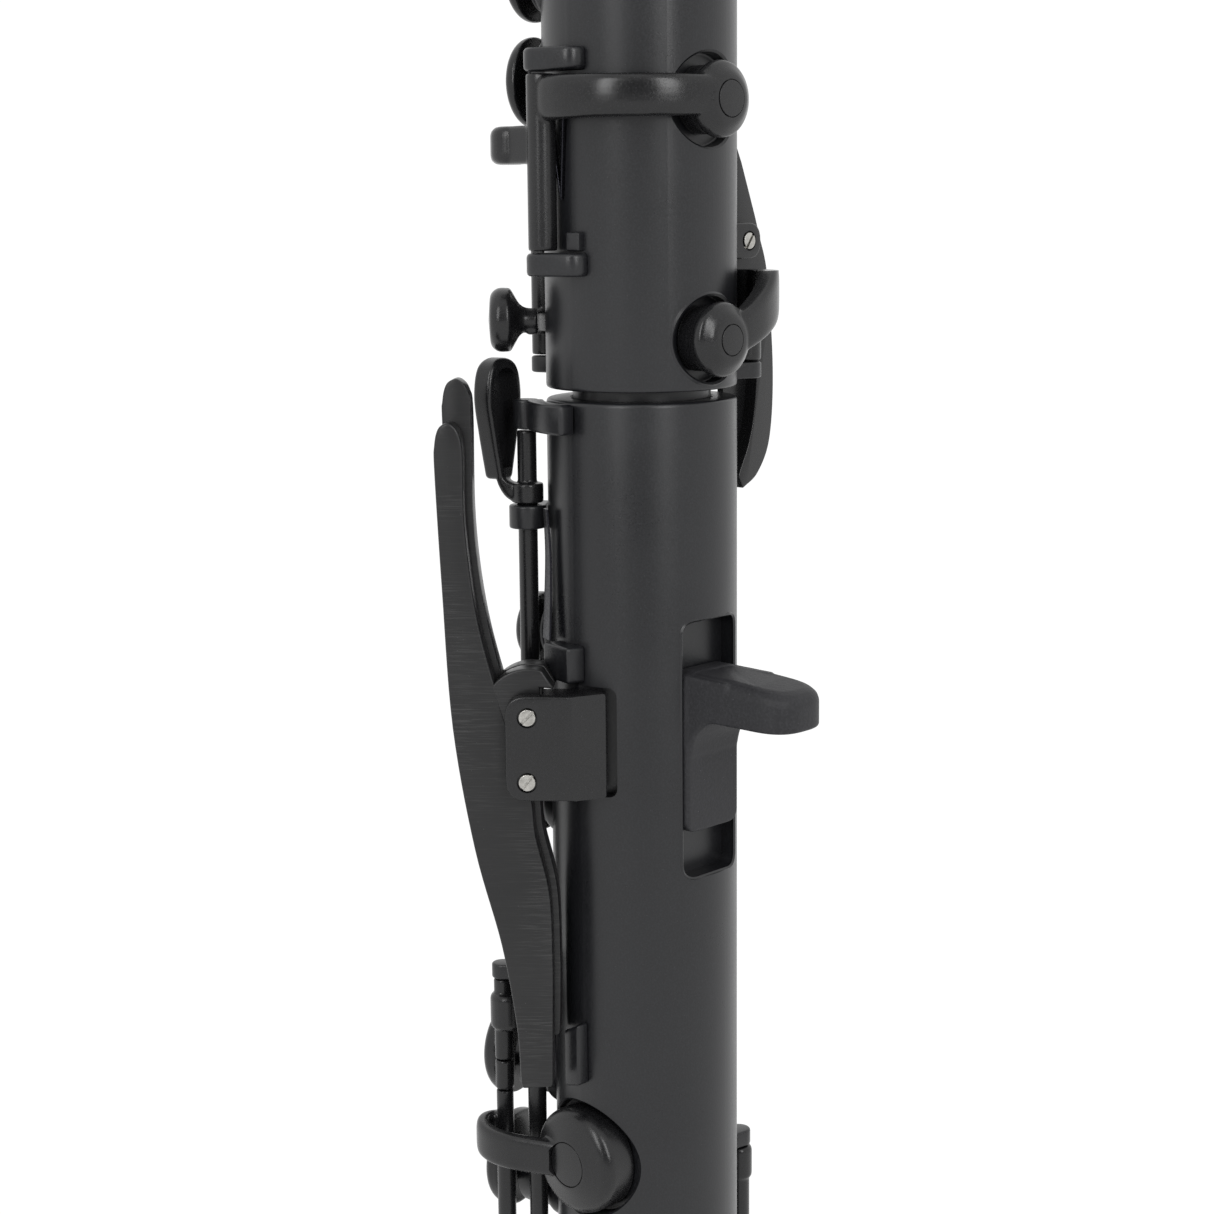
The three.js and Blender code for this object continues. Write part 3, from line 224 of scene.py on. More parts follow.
def slab(outline, z0, z1):
    """A plan outline of (x, y), extruded upward."""
    flat = np.array(outline, float)
    return skin([np.column_stack([flat, np.full(len(flat), z)]) for z in (z0, z1)])


def box(x, y, z):
    return slab([(x[0], y[0]), (x[1], y[0]), (x[1], y[1]), (x[0], y[1])], *z)


def bar_outline(start, end, half_width, count=12):
    a, b = at(*start)[:2], at(*end)[:2]
    along = math.atan2(b[1] - a[1], b[0] - a[0])
    outline = []
    for centre, first in ((b, along - math.pi / 2), (a, along + math.pi / 2)):
        for k in range(count + 1):
            angle = first + math.pi * k / count
            outline.append(centre + half_width * np.array([math.cos(angle), math.sin(angle)]))
    return outline


def ring_outline(az0, az1, inner, outer, count=16):
    turns = np.linspace(az0, az1, count)
    return [at(a, outer)[:2] for a in turns] + [at(a, inner)[:2] for a in turns[::-1]]


def sweep(points, sizes, roundness=3.0, steps=8, sides=28, up=(0, 0, 1), ends=(True, True)):
    """A bar along a smooth path. sizes gives (thickness across, height) at each path point, and
    a higher roundness number gives a squarer section."""
    path = np.array(curve(points, steps))
    size = np.array([
        np.interp(np.linspace(0, 1, len(path)), np.linspace(0, 1, len(sizes)), column)
        for column in np.array(sizes, float).T]).T
    along = np.gradient(path, axis=0)
    along /= np.linalg.norm(along, axis=1)[:, None]
    rise = np.array(up, float) if np.ndim(up) == 1 else np.array(curve(up, steps))
    rise = np.broadcast_to(rise, path.shape)
    across = np.cross(along, rise)
    across /= np.linalg.norm(across, axis=1)[:, None]
    turn = np.linspace(0, 2 * math.pi, sides, endpoint=False)
    power = 2 / roundness
    wide = np.sign(np.cos(turn)) * np.abs(np.cos(turn)) ** power / 2
    high = np.sign(np.sin(turn)) * np.abs(np.sin(turn)) ** power / 2

    def ring(i, scale, shift):
        centre = path[i] + along[i] * shift
        return (centre + np.outer(wide * size[i][0] * scale, across[i])
                + np.outer(high * size[i][1] * scale, rise[i]))

    rings = [ring(i, 1, 0) for i in range(len(path))]
    bulge = [(math.cos(a), math.sin(a)) for a in np.linspace(0.35, 1.4, 4)]
    if ends[0]:
        half = min(size[0]) / 2
        rings = [ring(0, c, -s * half) for c, s in bulge[::-1]] + rings
    if ends[1]:
        half = min(size[-1]) / 2
        rings += [ring(len(path) - 1, c, s * half) for c, s in bulge]
    return skin(rings)


def merged(solids):
    points, faces, base = [], [], 0
    for p, f in solids:
        points.append(p)
        faces += [tuple(i + base for i in face) for face in f]
        base += len(p)
    return np.concatenate(points), faces


def bevelled(solid, width, segments=3, limit=32):
    """The solid with its sharp edges rounded."""
    bm = bmesh.new()
    points = [bm.verts.new(p) for p in solid[0]]
    for face in solid[1]:
        bm.faces.new([points[i] for i in face])
    bmesh.ops.recalc_face_normals(bm, faces=bm.faces)
    edges = [e for e in bm.edges
             if len(e.link_faces) == 2 and e.calc_face_angle() > math.radians(limit)]
    bmesh.ops.bevel(bm, geom=edges, offset=width, offset_type="OFFSET", segments=segments,
                    profile=0.5, affect="EDGES", clamp_overlap=True)
    bm.verts.index_update()
    result = (np.array([v.co for v in bm.verts]), [tuple(v.index for v in f.verts) for f in bm.faces])
    bm.free()
    return result


# ---- pieces

def mesh_object(name, solids):
    points, faces = merged(solids)
    mesh = bpy.data.meshes.new(name)
    mesh.from_pydata((points * MM + ORIGIN).tolist(), [], faces)
    bm = bmesh.new()
    bm.from_mesh(mesh)
    bmesh.ops.recalc_face_normals(bm, faces=bm.faces)
    bm.to_mesh(mesh)
    bm.free()
    obj = bpy.data.objects.new(name, mesh)
    bpy.context.scene.collection.objects.link(obj)
    return obj


def add_modifier(obj, kind, **settings):
    modifier = obj.modifiers.new(kind.lower(), kind)
    for key, value in settings.items():
        setattr(modifier, key, value)


def freeze(obj):
    """Applies the modifiers."""
    bpy.context.view_layer.update()
    evaluated = obj.evaluated_get(bpy.context.evaluated_depsgraph_get())
    shaped = bpy.data.meshes.new_from_object(evaluated)
    obj.modifiers.clear()
    old = obj.data
    obj.data = shaped
    bpy.data.meshes.remove(old)
    shaped.name = obj.name


SELF_CROSSING_LIMIT = 4000


def carve(obj, solids):
    """Cuts the solids out. A small mesh may cross itself; a large one is a single skin."""
    tools = [mesh_object("tool", [solid]) for solid in solids]
    for tool in tools:
        add_modifier(obj, "BOOLEAN", object=tool, operation="DIFFERENCE", solver="EXACT",
                     use_self=len(obj.data.vertices) < SELF_CROSSING_LIMIT)
    freeze(obj)
    for tool in tools:
        bpy.data.objects.remove(tool)


def piece(name, solids, body, finish, own_node=True, voxel=0, smooth=4, cuts=(), crease=34):
    """A finished piece. With a voxel size the solids melt into one moulding; cuts come last.
    It takes the place of the node of its own name, if there is one."""
    obj = mesh_object(name, solids)
    if voxel:
        add_modifier(obj, "REMESH", mode="VOXEL", voxel_size=voxel * MM)
        add_modifier(obj, "SMOOTH", factor=0.5, iterations=smooth)
        freeze(obj)
    if cuts:
        carve(obj, cuts)
    dress(obj, body, finish, name if own_node else None, crease)


def dress(obj, body, finish, node, crease=34):
    obj.data.shade_smooth()
    obj.data.set_sharp_from_angle(angle=math.radians(crease))
    obj.data.materials.clear()
    obj.data.materials.append(FINISHES[finish])
    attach(obj, body)
    if node:
        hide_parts(node)


# ---- finishes

class Nodes:
    """A short way to wire a node material."""

    def __init__(self, name):
        self.material = bpy.data.materials.new(name)
        self.material.use_nodes = True
        self.tree = self.material.node_tree
        self.shader = self.tree.nodes["Principled BSDF"]
        self.place = self.add("ShaderNodeTexCoord").outputs["Object"]

    def add(self, kind, **settings):
        node = self.tree.nodes.new(kind)
        for key, value in settings.items():
            setattr(node, key, value)
        return node

    def link(self, source, target):
        self.tree.links.new(source, target)

    def stretched(self, scale):
        node = self.add("ShaderNodeMapping")
        node.inputs["Scale"].default_value = scale
        self.link(self.place, node.inputs["Vector"])
        return node.outputs["Vector"]

    def noise(self, scale, detail=2.0, vector=None):
        node = self.add("ShaderNodeTexNoise")
        node.inputs["Scale"].default_value = scale
        node.inputs["Detail"].default_value = detail
        self.link(vector or self.place, node.inputs["Vector"])
        return node.outputs["Fac"]

    def remap(self, value, low, high, to_low, to_high):
        node = self.add("ShaderNodeMapRange")
        for key, number in zip(("From Min", "From Max", "To Min", "To Max"),
                               (low, high, to_low, to_high)):
            node.inputs[key].default_value = number
        self.link(value, node.inputs["Value"])
        return node.outputs["Result"]

    def mix(self, factor, colour_a, colour_b):
        node = self.add("ShaderNodeMix", data_type="RGBA")
        self.link(factor, node.inputs[0])
        for socket, colour in ((node.inputs[6], colour_a), (node.inputs[7], colour_b)):
            if isinstance(colour, tuple):
                socket.default_value = (*colour, 1)
            else:
                self.link(colour, socket)
        return node.outputs[2]

    def math(self, operation, a, b):
        node = self.add("ShaderNodeMath", operation=operation)
        for socket, value in zip(node.inputs, (a, b)):
            if isinstance(value, (int, float)):
                socket.default_value = value
            else:
                self.link(value, socket)
        return node.outputs[0]

    def bump(self, height, distance, strength=1.0):
        node = self.add("ShaderNodeBump")
        node.inputs["Distance"].default_value = distance
        node.inputs["Strength"].default_value = strength
        self.link(height, node.inputs["Height"])
        self.link(node.outputs["Normal"], self.shader.inputs["Normal"])

    def specks(self, scale, size):
        """A sparse field of tiny round dots, 1 inside a dot."""
        node = self.add("ShaderNodeTexVoronoi", feature="F1")
        node.inputs["Scale"].default_value = scale
        self.link(self.place, node.inputs["Vector"])
        dots = self.remap(node.outputs["Distance"], size, size * 0.6, 0, 1)
        chosen = self.add("ShaderNodeSeparateColor")
        self.link(node.outputs["Color"], chosen.inputs[0])
        rare = self.remap(chosen.outputs[0], 0.90, 0.92, 0, 1)
        return self.math("MULTIPLY", dots, rare)


def moulded(name, dark, light, roughness, grain, depth, specular=0.5, dust=(0.035, 0.035, 0.037)):
    """Moulded plastic: a fine grain, cloudy tone, slight handling marks and a little dust."""
    n = Nodes(name)
    cloud = n.noise(38, 3)
    fine = n.noise(grain, 2)
    tone = n.mix(n.remap(cloud, 0.3, 0.7, 0, 1), dark, light)
    grainy = n.mix(n.remap(fine, 0.42, 0.72, 0, 0.5), tone, tuple(1.9 * c for c in light))
    n.link(n.mix(n.specks(1500, 0.14), grainy, dust), n.shader.inputs["Base Color"])
    rubbed = n.math("ADD", n.remap(cloud, 0.3, 0.7, roughness - 0.04, roughness + 0.04),
                    n.remap(fine, 0.3, 0.7, -0.04, 0.04))
    n.link(rubbed, n.shader.inputs["Roughness"])
    n.shader.inputs["Specular IOR Level"].default_value = specular
    n.bump(fine, depth)
    return n.material


def brushed(name, dark, light, roughness, across):
    """Moulded plastic dressed by hand: short fine scratches across the length."""
    n = Nodes(name)
    lines = n.noise(1, 3, n.stretched((160, 160, 5200)))
    patches = n.noise(60, 2)
    strength = n.remap(patches, 0.42, 0.62, 0.15, 1)
    marks = n.math("MULTIPLY", n.remap(lines, 0.5, 0.74, 0, 1), strength)
    tone = n.mix(n.remap(n.noise(40, 2), 0.3, 0.7, 0, 1), dark, light)
    scratched = n.mix(marks, tone, across)
    n.link(n.mix(n.specks(1300, 0.12), scratched, (0.05, 0.05, 0.05)), n.shader.inputs["Base Color"])
    n.link(n.remap(marks, 0, 1, roughness, roughness + 0.12), n.shader.inputs["Roughness"])
    n.shader.inputs["Specular IOR Level"].default_value = 0.42
    n.bump(n.math("MULTIPLY", lines, strength), 0.00005, 0.7)
    return n.material


def metal(name, colour, roughness, scale=300, depth=0.00001):
    """Plated or turned metal, with faint clouding and fine marks."""
    n = Nodes(name)
    cloud = n.noise(scale, 3)
    fine = n.noise(2600, 2)
    darker = tuple(0.72 * c for c in colour)
    n.link(n.mix(n.remap(cloud, 0.35, 0.65, 0, 1), colour, darker), n.shader.inputs["Base Color"])
    n.link(n.remap(fine, 0.3, 0.7, roughness * 0.7, roughness * 1.4), n.shader.inputs["Roughness"])
    n.shader.inputs["Metallic"].default_value = 1.0
    n.bump(fine, depth)
    return n.material


def cork_finish():
    n = Nodes("cork")
    grain = n.noise(900, 4)
    pits = n.specks(1100, 0.32)
    tone = n.mix(n.remap(grain, 0.3, 0.7, 0, 1), (0.42, 0.26, 0.13), (0.62, 0.43, 0.25))
    n.link(n.mix(pits, tone, (0.10, 0.05, 0.03)), n.shader.inputs["Base Color"])
    n.shader.inputs["Roughness"].default_value = 0.85
    n.bump(grain, 0.0002)
    return n.material


def cane_finish():
    n = Nodes("cane")
    fibres = n.noise(1, 3, n.stretched((3200, 260, 260)))
    tone = n.mix(n.remap(fibres, 0.35, 0.65, 0, 1), (0.55, 0.38, 0.17), (0.78, 0.62, 0.36))
    n.link(tone, n.shader.inputs["Base Color"])
    n.shader.inputs["Roughness"].default_value = 0.55
    n.bump(fibres, 0.00005)
    return n.material


FINISHES = {
    "body_plastic": moulded("body_plastic", (0.0055, 0.0057, 0.0068), (0.0085, 0.0088, 0.0102),
                            0.33, 2600, 0.000012, 0.46),
    "key_plastic": moulded("key_plastic", (0.0045, 0.0045, 0.0050), (0.0075, 0.0075, 0.0082),
                           0.27, 2600, 0.000004, 0.44),
    "soft_rubber": moulded("soft_rubber", (0.010, 0.010, 0.012), (0.016, 0.016, 0.018),
                           0.55, 1700, 0.00006, 0.34, (0.09, 0.09, 0.10)),
    "ebonite": moulded("ebonite", (0.006, 0.006, 0.006), (0.009, 0.009, 0.009),
                       0.16, 1200, 0.000004, 0.5, (0.05, 0.05, 0.05)),
    "brushed_plastic": brushed("brushed_plastic", (0.006, 0.006, 0.0065), (0.009, 0.009, 0.0095),
                               0.34, (0.040, 0.040, 0.040)),
    "nickel_trim": metal("nickel_trim", (0.72, 0.70, 0.66), 0.16),
    "screw_steel": metal("screw_steel", (0.50, 0.49, 0.46), 0.30, 900, 0.000012),
    "spring_steel": metal("spring_steel", (0.03, 0.03, 0.036), 0.3),
    "cork": cork_finish(),
    "cane": cane_finish(),
}


# ---- the two joints

def tube(profile):
    """A joint's turned body, with the faint seams of its mould down both sides."""
    points, faces = lathe(profile, sides=192)
    on_seam = (np.abs(points[:, 1]) < 0.3) & (np.hypot(points[:, 0], points[:, 1]) > BODY_R - 0.3)
    points[on_seam, :2] *= 1 + 0.05 / BODY_R
    return points, faces


def post(azimuth, reach, z0, z1, radius=3.0, foot=17.0):
    """A post moulded on a joint: a rounded head for the hinge, on a foot in the tube."""
    return bevelled(slab(bar_outline((azimuth, foot), (azimuth, reach), radius), z0, z1), 0.5)


def chimney(azimuth, z, hole, radius, top):
    profile = fillet([(hole, 17), (radius + 1.4, 17), (radius + 1.4, 20.4), (radius, 21.6),
                      (radius, top), (hole, top)], [0, 0, 0.8, 1, 0.4, 0.4])
    return lathe(profile, 72, azimuth, z)


def bore_through(azimuth, z, radius):
    return drum(radius, 2, 45, 48, azimuth, z)


def pocket(azimuth, z, radius, floor):
    return turned([(0, floor), (radius, floor), (radius, 26), (0, 26)], [0, 0.5, 0, 0], 96,
                  azimuth, z)


def skin_cut(z0, z1):
    """A cutter that trims a part to stand on the tube."""
    return drum(SKIN_R, z0, z1, 96)


def rim_chamfer(outline, azimuth, size=0.45):
    """A cutter that takes the sharp edge off an opening in the tube."""
    flat = np.array(outline, float)
    x, z = flat[:, 0], flat[:, 1]
    depth = np.sqrt(BODY_R ** 2 - x ** 2)
    point = np.column_stack([x, z, depth])
    outward = np.column_stack([x / BODY_R, np.zeros(len(x)), depth / BODY_R])
    along = np.roll(point, -1, 0) - np.roll(point, 1, 0)
    sideways = np.cross(along, outward)
    sideways /= np.linalg.norm(sideways, axis=1)[:, None]
    corners = [point + outward * size, point + sideways * size,
               point - outward * size, point - sideways * size]
    rings = [np.array([corner[i] for corner in corners]) @ axes(azimuth) for i in range(len(x))]
    return skin(rings, looped=True)


# Each finger key: its hole's height, cup radius, face and the span of its rod.
STACK = {
    "lh_index_key": (172, 9.5, 27.5, (160, 190)),
    "lh_middle_key": (128, 9.5, 27.5, (116, 146)),
    "lh_ring_key": (84.5, 9.5, 27.5, (50, 98)),
    "rh_index_key": (-53.6, 7.8, 28.4, (-68, -42)),
    "rh_middle_key": (-90, 9.5, 28.4, (-102, -76)),
    "rh_ring_key": (-122, 9.5, 28.4, (-134, -108)),
}
SECOND_PAD = 62.8                # the ring finger's key carries a second pad
CHIMNEY_TOP = 22.3
UPPER_HOLES = [z for z, *_ in STACK.values() if z > 0] + [SECOND_PAD]
LOWER_HOLES = [z for z, *_ in STACK.values() if z < 0]
C_SHARP = 57.9                   # heights of the closed holes at the back and the left
SIDE_B_FLAT = 10.4
A_FLAT = -166
SKIN_R = BODY_R + 0.25           # parts that stand on the tube are trimmed to this radius
# Azimuth and reach of the hinge rods.
FINGER_ROD = (330, 24.6)
BUTTON_ROD = (14, 24.2)
THUMB_ROD = (216, 24.4)
SIDE_B_FLAT_ROD = (246, 24.2)
SLIVER_ROD = (302, 24.2)
C_SHARP_ROD = (77.6, 23.5)
OUTBOARD = (42, 31.6)
OPEN_PADS = {"low_g_key": (-151.7, (-156, -149.3)), "low_f_sharp_key": (-178.9, (-196, -171.6))}
LOW_ROD_REACH = 26.6

# Each low key: its rod's azimuth and top, then its pad's height and azimuth.
LOW_KEYS = {
    "low_f_key": (296, -204, -246, 338),
    "low_e_key": (279, -190, -296, 321),
    "low_e_flat_key": (262, -176, -348, 304),
}
LEVER_PLANE = 131.7
SLOT = (182.5, rectangle(-8.4, 8.4, -102.3, -47.1, 3.2))
LEVER_POCKET = rectangle(-30, -4.6, -84.2, -60.9, 2.2)

piece("upper_joint", [tube(fillet([
    (BORE_R, -16), (13.2, -16), (13.2, -4), (14.5, -4), (14.5, 0), (BODY_R, 0),
    (BODY_R, UPPER_TOP), (14.9, UPPER_TOP), (14.9, UPPER_TOP - 18), (BORE_R, UPPER_TOP - 18),
], [0, 0.4, 0, 0, 0, 0.8, 0.6, 0.5, 0, 0]))], "body", "body_plastic", cuts=[
    pocket(180, C_SHARP, 9.3, 16.4), rim_chamfer(circle(9.3, 96, (0, C_SHARP)), 180),
    pocket(180, SIDE_B_FLAT, 9.2, 16.4), rim_chamfer(circle(9.2, 96, (0, SIDE_B_FLAT)), 180),
    bore_through(180, C_SHARP, 4), bore_through(180, SIDE_B_FLAT, 4),
    bore_through(180, 190, 5), bore_through(180, 352, 1.8), bore_through(0, 348, 3.5),
    bore_through(58, 322, 3.5), bore_through(270, 106, 3.5), bore_through(334, 20, 3.5),
    *[bore_through(FRONT, z, 6) for z in UPPER_HOLES],
])

piece("lower_joint", [tube(fillet([
    (BORE_R, LOWER_END - 16), (15.6, LOWER_END - 16), (15.6, LOWER_END), (BODY_R, LOWER_END),
    (BODY_R, -JOINT_GAP), (14.9, -JOINT_GAP), (14.9, -19.2), (BORE_R, -19.2),
], [0, 0.4, 0, 0.6, 0.9, 0.5, 0, 0]))], "body", "body_plastic", cuts=[
    pocket(90, A_FLAT, 12.8, 15.2), rim_chamfer(circle(12.8, 96, (0, A_FLAT)), 90),
    bore_through(90, A_FLAT, 8),
    prism(SLOT[1], SLOT[0], 14.7, 26), rim_chamfer(SLOT[1], SLOT[0], 0.35),
    prism(LEVER_POCKET, LEVER_PLANE, 15.4, 26),
    bore_through(275, -58.6, 3.5),
    *[bore_through(FRONT, z, 6) for z in LOWER_HOLES],
    *[bore_through(FRONT, z, 8) for z, _ in OPEN_PADS.values()],
    *[bore_through(pad_azimuth, pad, 9) for _, _, pad, pad_azimuth in LOW_KEYS.values()],
])


def key_posts(keys, rod_place, side):
    return [post(*rod_place, *span) for z, _, _, (low, high) in keys.values()
            if (z > 0) == side for span in ((low - 3.7, low - 0.3), (high + 0.3, high + 3.7))]


piece("upper_posts", [
    *key_posts(STACK, FINGER_ROD, True),
    *[chimney(FRONT, z, 6, 8, CHIMNEY_TOP) for z in UPPER_HOLES],
    post(*THUMB_ROD, 203.3, 206.7, 2.9), post(*THUMB_ROD, 173.3, 176.7, 2.9),
    post(*SIDE_B_FLAT_ROD, 0.8, 4.3, 3),
    post(*BUTTON_ROD, 30.3, 33.5, 2.8), post(*BUTTON_ROD, 2.2, 5.7, 2.8),
], "body", "body_plastic", own_node=False)

piece("lower_posts", [
    *key_posts(STACK, FINGER_ROD, False),
    chimney(FRONT, LOWER_HOLES[0], 6, 6.3, CHIMNEY_TOP),
    *[chimney(FRONT, z, 6, 8, CHIMNEY_TOP) for z in LOWER_HOLES[1:]],
    *[chimney(FRONT, z, 8, 9.1, 29) for z, _ in OPEN_PADS.values()],
    *[chimney(pad_azimuth, pad, 9, 12, 22.6) for _, _, pad, pad_azimuth in LOW_KEYS.values()],
    post(*OUTBOARD, -130.2, -126.8, 2.4), post(*OUTBOARD, -199.7, -196.3, 2.4),
    post(*SLIVER_ROD, -47.7, -44.5, 2.6), post(*SLIVER_ROD, -95.5, -92.3, 2.6),
    *[post(azimuth, LOW_ROD_REACH, *span, 2.6) for azimuth, top, pad, _ in LOW_KEYS.values()
      for span in ((top + 0.3, top + 4), (pad - 12, pad - 8.3))],
], "body", "body_plastic", own_node=False)

piece("tenon_cork", [lathe(fillet([(13.5, -15.6), (14.6, -15.6), (14.6, -4.4), (13.5, -4.4)],
                                  0.4), 128)], "body", "cork")
piece("neck_ring", [lathe(fillet([
    (20.3, 372), (22.2, 373), (22.2, 376), (21.6, 377.5), (21.6, 383.5), (22.2, 385),
    (22.2, 387), (20.3, 388)], [0.2, 0.8, 0.5, 0.5, 0.5, 0.5, 0.8, 0.2]), 144)],
    "body", "nickel_trim")


# ---- bell and neck

def spline_path(points):
    """The row of centres through (y, z) points, as a function of t from 0 to 1."""
    p = np.array([(0, y, z) for y, z in points], float)
    p = np.vstack([2 * p[0] - p[1], p, 2 * p[-1] - p[-2]])
    knots = np.concatenate([[0], np.cumsum(np.sqrt(np.linalg.norm(np.diff(p, axis=0), axis=1)))])

    def centre(t):
        place = min(max(t, 0), 1) * (len(p) - 3)
        i = min(int(place), len(p) - 4)
        k = knots[i:i + 4]
        u = k[1] + (place - i) * (k[2] - k[1])
        level = [p[i + j] for j in range(4)]
        for step in (1, 2):
            level = [
                (level[j] * (k[j + step] - u) + level[j + 1] * (u - k[j])) / (k[j + step] - k[j])
                for j in range(4 - step)]
        return (level[0] * (k[2] - u) + level[1] * (u - k[1])) / (k[2] - k[1])
    return centre


def pipe(centre, outer, inner, start=0.0, end=1.0, steps=90, sides=96, lip=0.0):
    """A bent tube round a path in the plane of the bore. lip rolls its far rim outward."""
    turn = np.linspace(0, 2 * math.pi, sides, endpoint=False)

    def ring(t, radius, shift=0.0):
        along = centre(min(t + 0.002, 1)) - centre(max(t - 0.002, 0))
        along /= np.linalg.norm(along)
        other = np.cross(along, [1, 0, 0])
        return (centre(t) + along * shift + np.outer(radius * np.cos(turn), [1, 0, 0])
                + np.outer(radius * np.sin(turn), other))

    spots = np.linspace(start, end, steps)
    rings = [ring(t, outer(t)) for t in spots]
    if lip:
        middle = (outer(end) + inner(end)) / 2
        half = (outer(end) - inner(end)) / 2
        rings += [ring(end, middle + half * math.cos(a), lip * math.sin(a) - lip)
                  for a in np.linspace(0, math.pi, 9)]
    rings += [ring(t, inner(t)) for t in spots[::-1]]
    return skin(rings, looped=True)


BELL_TOP = LOWER_END - 0.3
BOW_END = 0.55
bell_path = spline_path([(0, BELL_TOP - 17), (0, -474), (-14, -508), (-46, -522), (-78, -508),
                         (-93, -476), (-103, -440), (-113, -404)])


def bell_bore(t):
    return 12.6 + 8 * t + 33.4 * max(0, (t - BOW_END) / (1 - BOW_END)) ** 2.4


def bell_outer(t):
    return bell_bore(t) + 4.0 - 1.2 * t


piece("bell_bow", [
    lathe(fillet([
        (15.9, BELL_TOP), (22.3, BELL_TOP), (22.3, BELL_TOP - 3), (21.6, BELL_TOP - 4),
        (21.6, BELL_TOP - 11), (22.3, BELL_TOP - 12), (22.3, BELL_TOP - 15),
        (16.5, BELL_TOP - 22), (12.8, BELL_TOP - 22), (12.8, BELL_TOP - 17),
        (15.9, BELL_TOP - 17)], [0.4, 1, 0.5, 0.4, 0.4, 0.5, 1.5, 0.5, 0, 0, 0]), 144),
    pipe(bell_path, bell_outer, bell_bore, 0.0, BOW_END, 90),
], "body", "body_plastic")
piece("bell", [pipe(bell_path, bell_outer, bell_bore, BOW_END + 0.0015, 1, 80, 128, lip=1.2)],
      "body", "body_plastic")

neck_path = spline_path([(0, UPPER_TOP + 2), (1, 425), (10, 460), (34, 486), (68, 495),
                         (100, 490), (122, 482)])
piece("neck", [
    lathe(fillet([
        (10, UPPER_TOP - 17.6), (14.5, UPPER_TOP - 17.6), (14.5, UPPER_TOP + 0.3),
        (17.5, UPPER_TOP + 0.3), (17.5, UPPER_TOP + 6), (10, UPPER_TOP + 6)],
        [0, 0.5, 0, 0.6, 1.5, 0]), 128),
    pipe(neck_path, lambda t: 14.9 - 2.7 * t, lambda t: 10 - 1.2 * t, 0, 1, 80, 80),
], "neck", "body_plastic")

MOUTH_END = neck_path(1)
MOUTH_ALONG = neck_path(1) - neck_path(0.996)
MOUTH_ALONG /= np.linalg.norm(MOUTH_ALONG)
MOUTH_AXES = np.array([[1, 0, 0], np.cross(MOUTH_ALONG, [1, 0, 0]), MOUTH_ALONG])
MOUTH_START = MOUTH_END - 12 * MOUTH_ALONG


def on_mouthpiece(solid):
    """Carries a solid from the mouthpiece's own axes: x across, y to the reed side, z along."""
    return np.asarray(solid[0], float) @ MOUTH_AXES + MOUTH_START, solid[1]


def mouthpiece_body():
    sections = np.array([
        (0, 14.4, 14.4, -14.4), (1, 14.6, 14.6, -14.6), (26, 15, 15, -15),
        (30, 15.1, 15.1, -14), (50, 13.6, 12.4, -12.6), (66, 10.8, 6.4, -11.4),
        (82, 8.6, -2.6, -9.8), (92, 7.9, -7.4, -9.2)])
    spots = np.linspace(0, 92, 60)
    wide, top, bottom = (np.interp(spots, sections[:, 0], sections[:, k]) for k in (1, 2, 3))
    turn = np.linspace(0, 2 * math.pi, 72, endpoint=False)
    return skin([
        np.column_stack([w * np.cos(turn), (t + b) / 2 + (t - b) / 2 * np.sin(turn),
                         np.full(72, z)])
        for z, w, t, b in zip(spots, wide, top, bottom)])


piece("mouthpiece", [on_mouthpiece(mouthpiece_body())], "neck", "ebonite", cuts=[
    on_mouthpiece(box((-20, 20), (-21.2, -11.2), (27, 97))),
    on_mouthpiece(bevelled(box((-5.5, 5.5), (-16, -2), (49, 83)), 1.5)),
    on_mouthpiece(drum(8.2, -2, 52, 64)),
    on_mouthpiece(drum(13.1, -3, 13, 64)),
])


def reed_body():
    spots = np.linspace(29, 91.4, 40)
    thick = np.where(spots < 58, 2.5, 2.5 - 2.1 * np.clip((spots - 58) / 33, 0, 1) ** 0.8)
    rows = []
    for z, t in zip(spots, thick):
        edge = max(0.35, t * 0.55)
        x = np.linspace(-6.4, 6.4, 15)
        crown = -11.5 - edge - (t - edge) * (1 - (x / 6.4) ** 2)
        rows.append(np.vstack([np.column_stack([x, crown, np.full(15, z)]),
                               [(6.4, -11.5, z), (-6.4, -11.5, z)]]))
    return skin(rows)


piece("reed", [on_mouthpiece(reed_body())], "neck", "cane")
piece("ligature", [
    on_mouthpiece(lathe(fillet([(16.2, 31), (17.2, 31), (17.2, 34), (16.8, 34.6), (16.8, 44.4),
                                (17.2, 45), (17.2, 48), (16.2, 48)], 0.3), 120)),
    on_mouthpiece(bevelled(box((-4.5, 4.5), (-19.9, -16.4), (32, 47)), 0.8)),
], "neck", "nickel_trim")


def across_screw(radius, x0, x1, edge=0.4, sides=40):
    """A turned part whose axis runs across the mouthpiece."""
    points, faces = turned([(0, x0), (radius, x0), (radius, x1), (0, x1)], edge, sides)
    return points[:, [2, 0, 1]] + np.array([0, -18.2, 39.5]), faces


piece("ligature_screw", [on_mouthpiece(across_screw(1.1, -6, 9)),
                         on_mouthpiece(across_screw(3.15, 8.9, 11.9, 0.6, 48))],
      "ligature_screw", "screw_steel")


# ---- thumb rest and strap ring

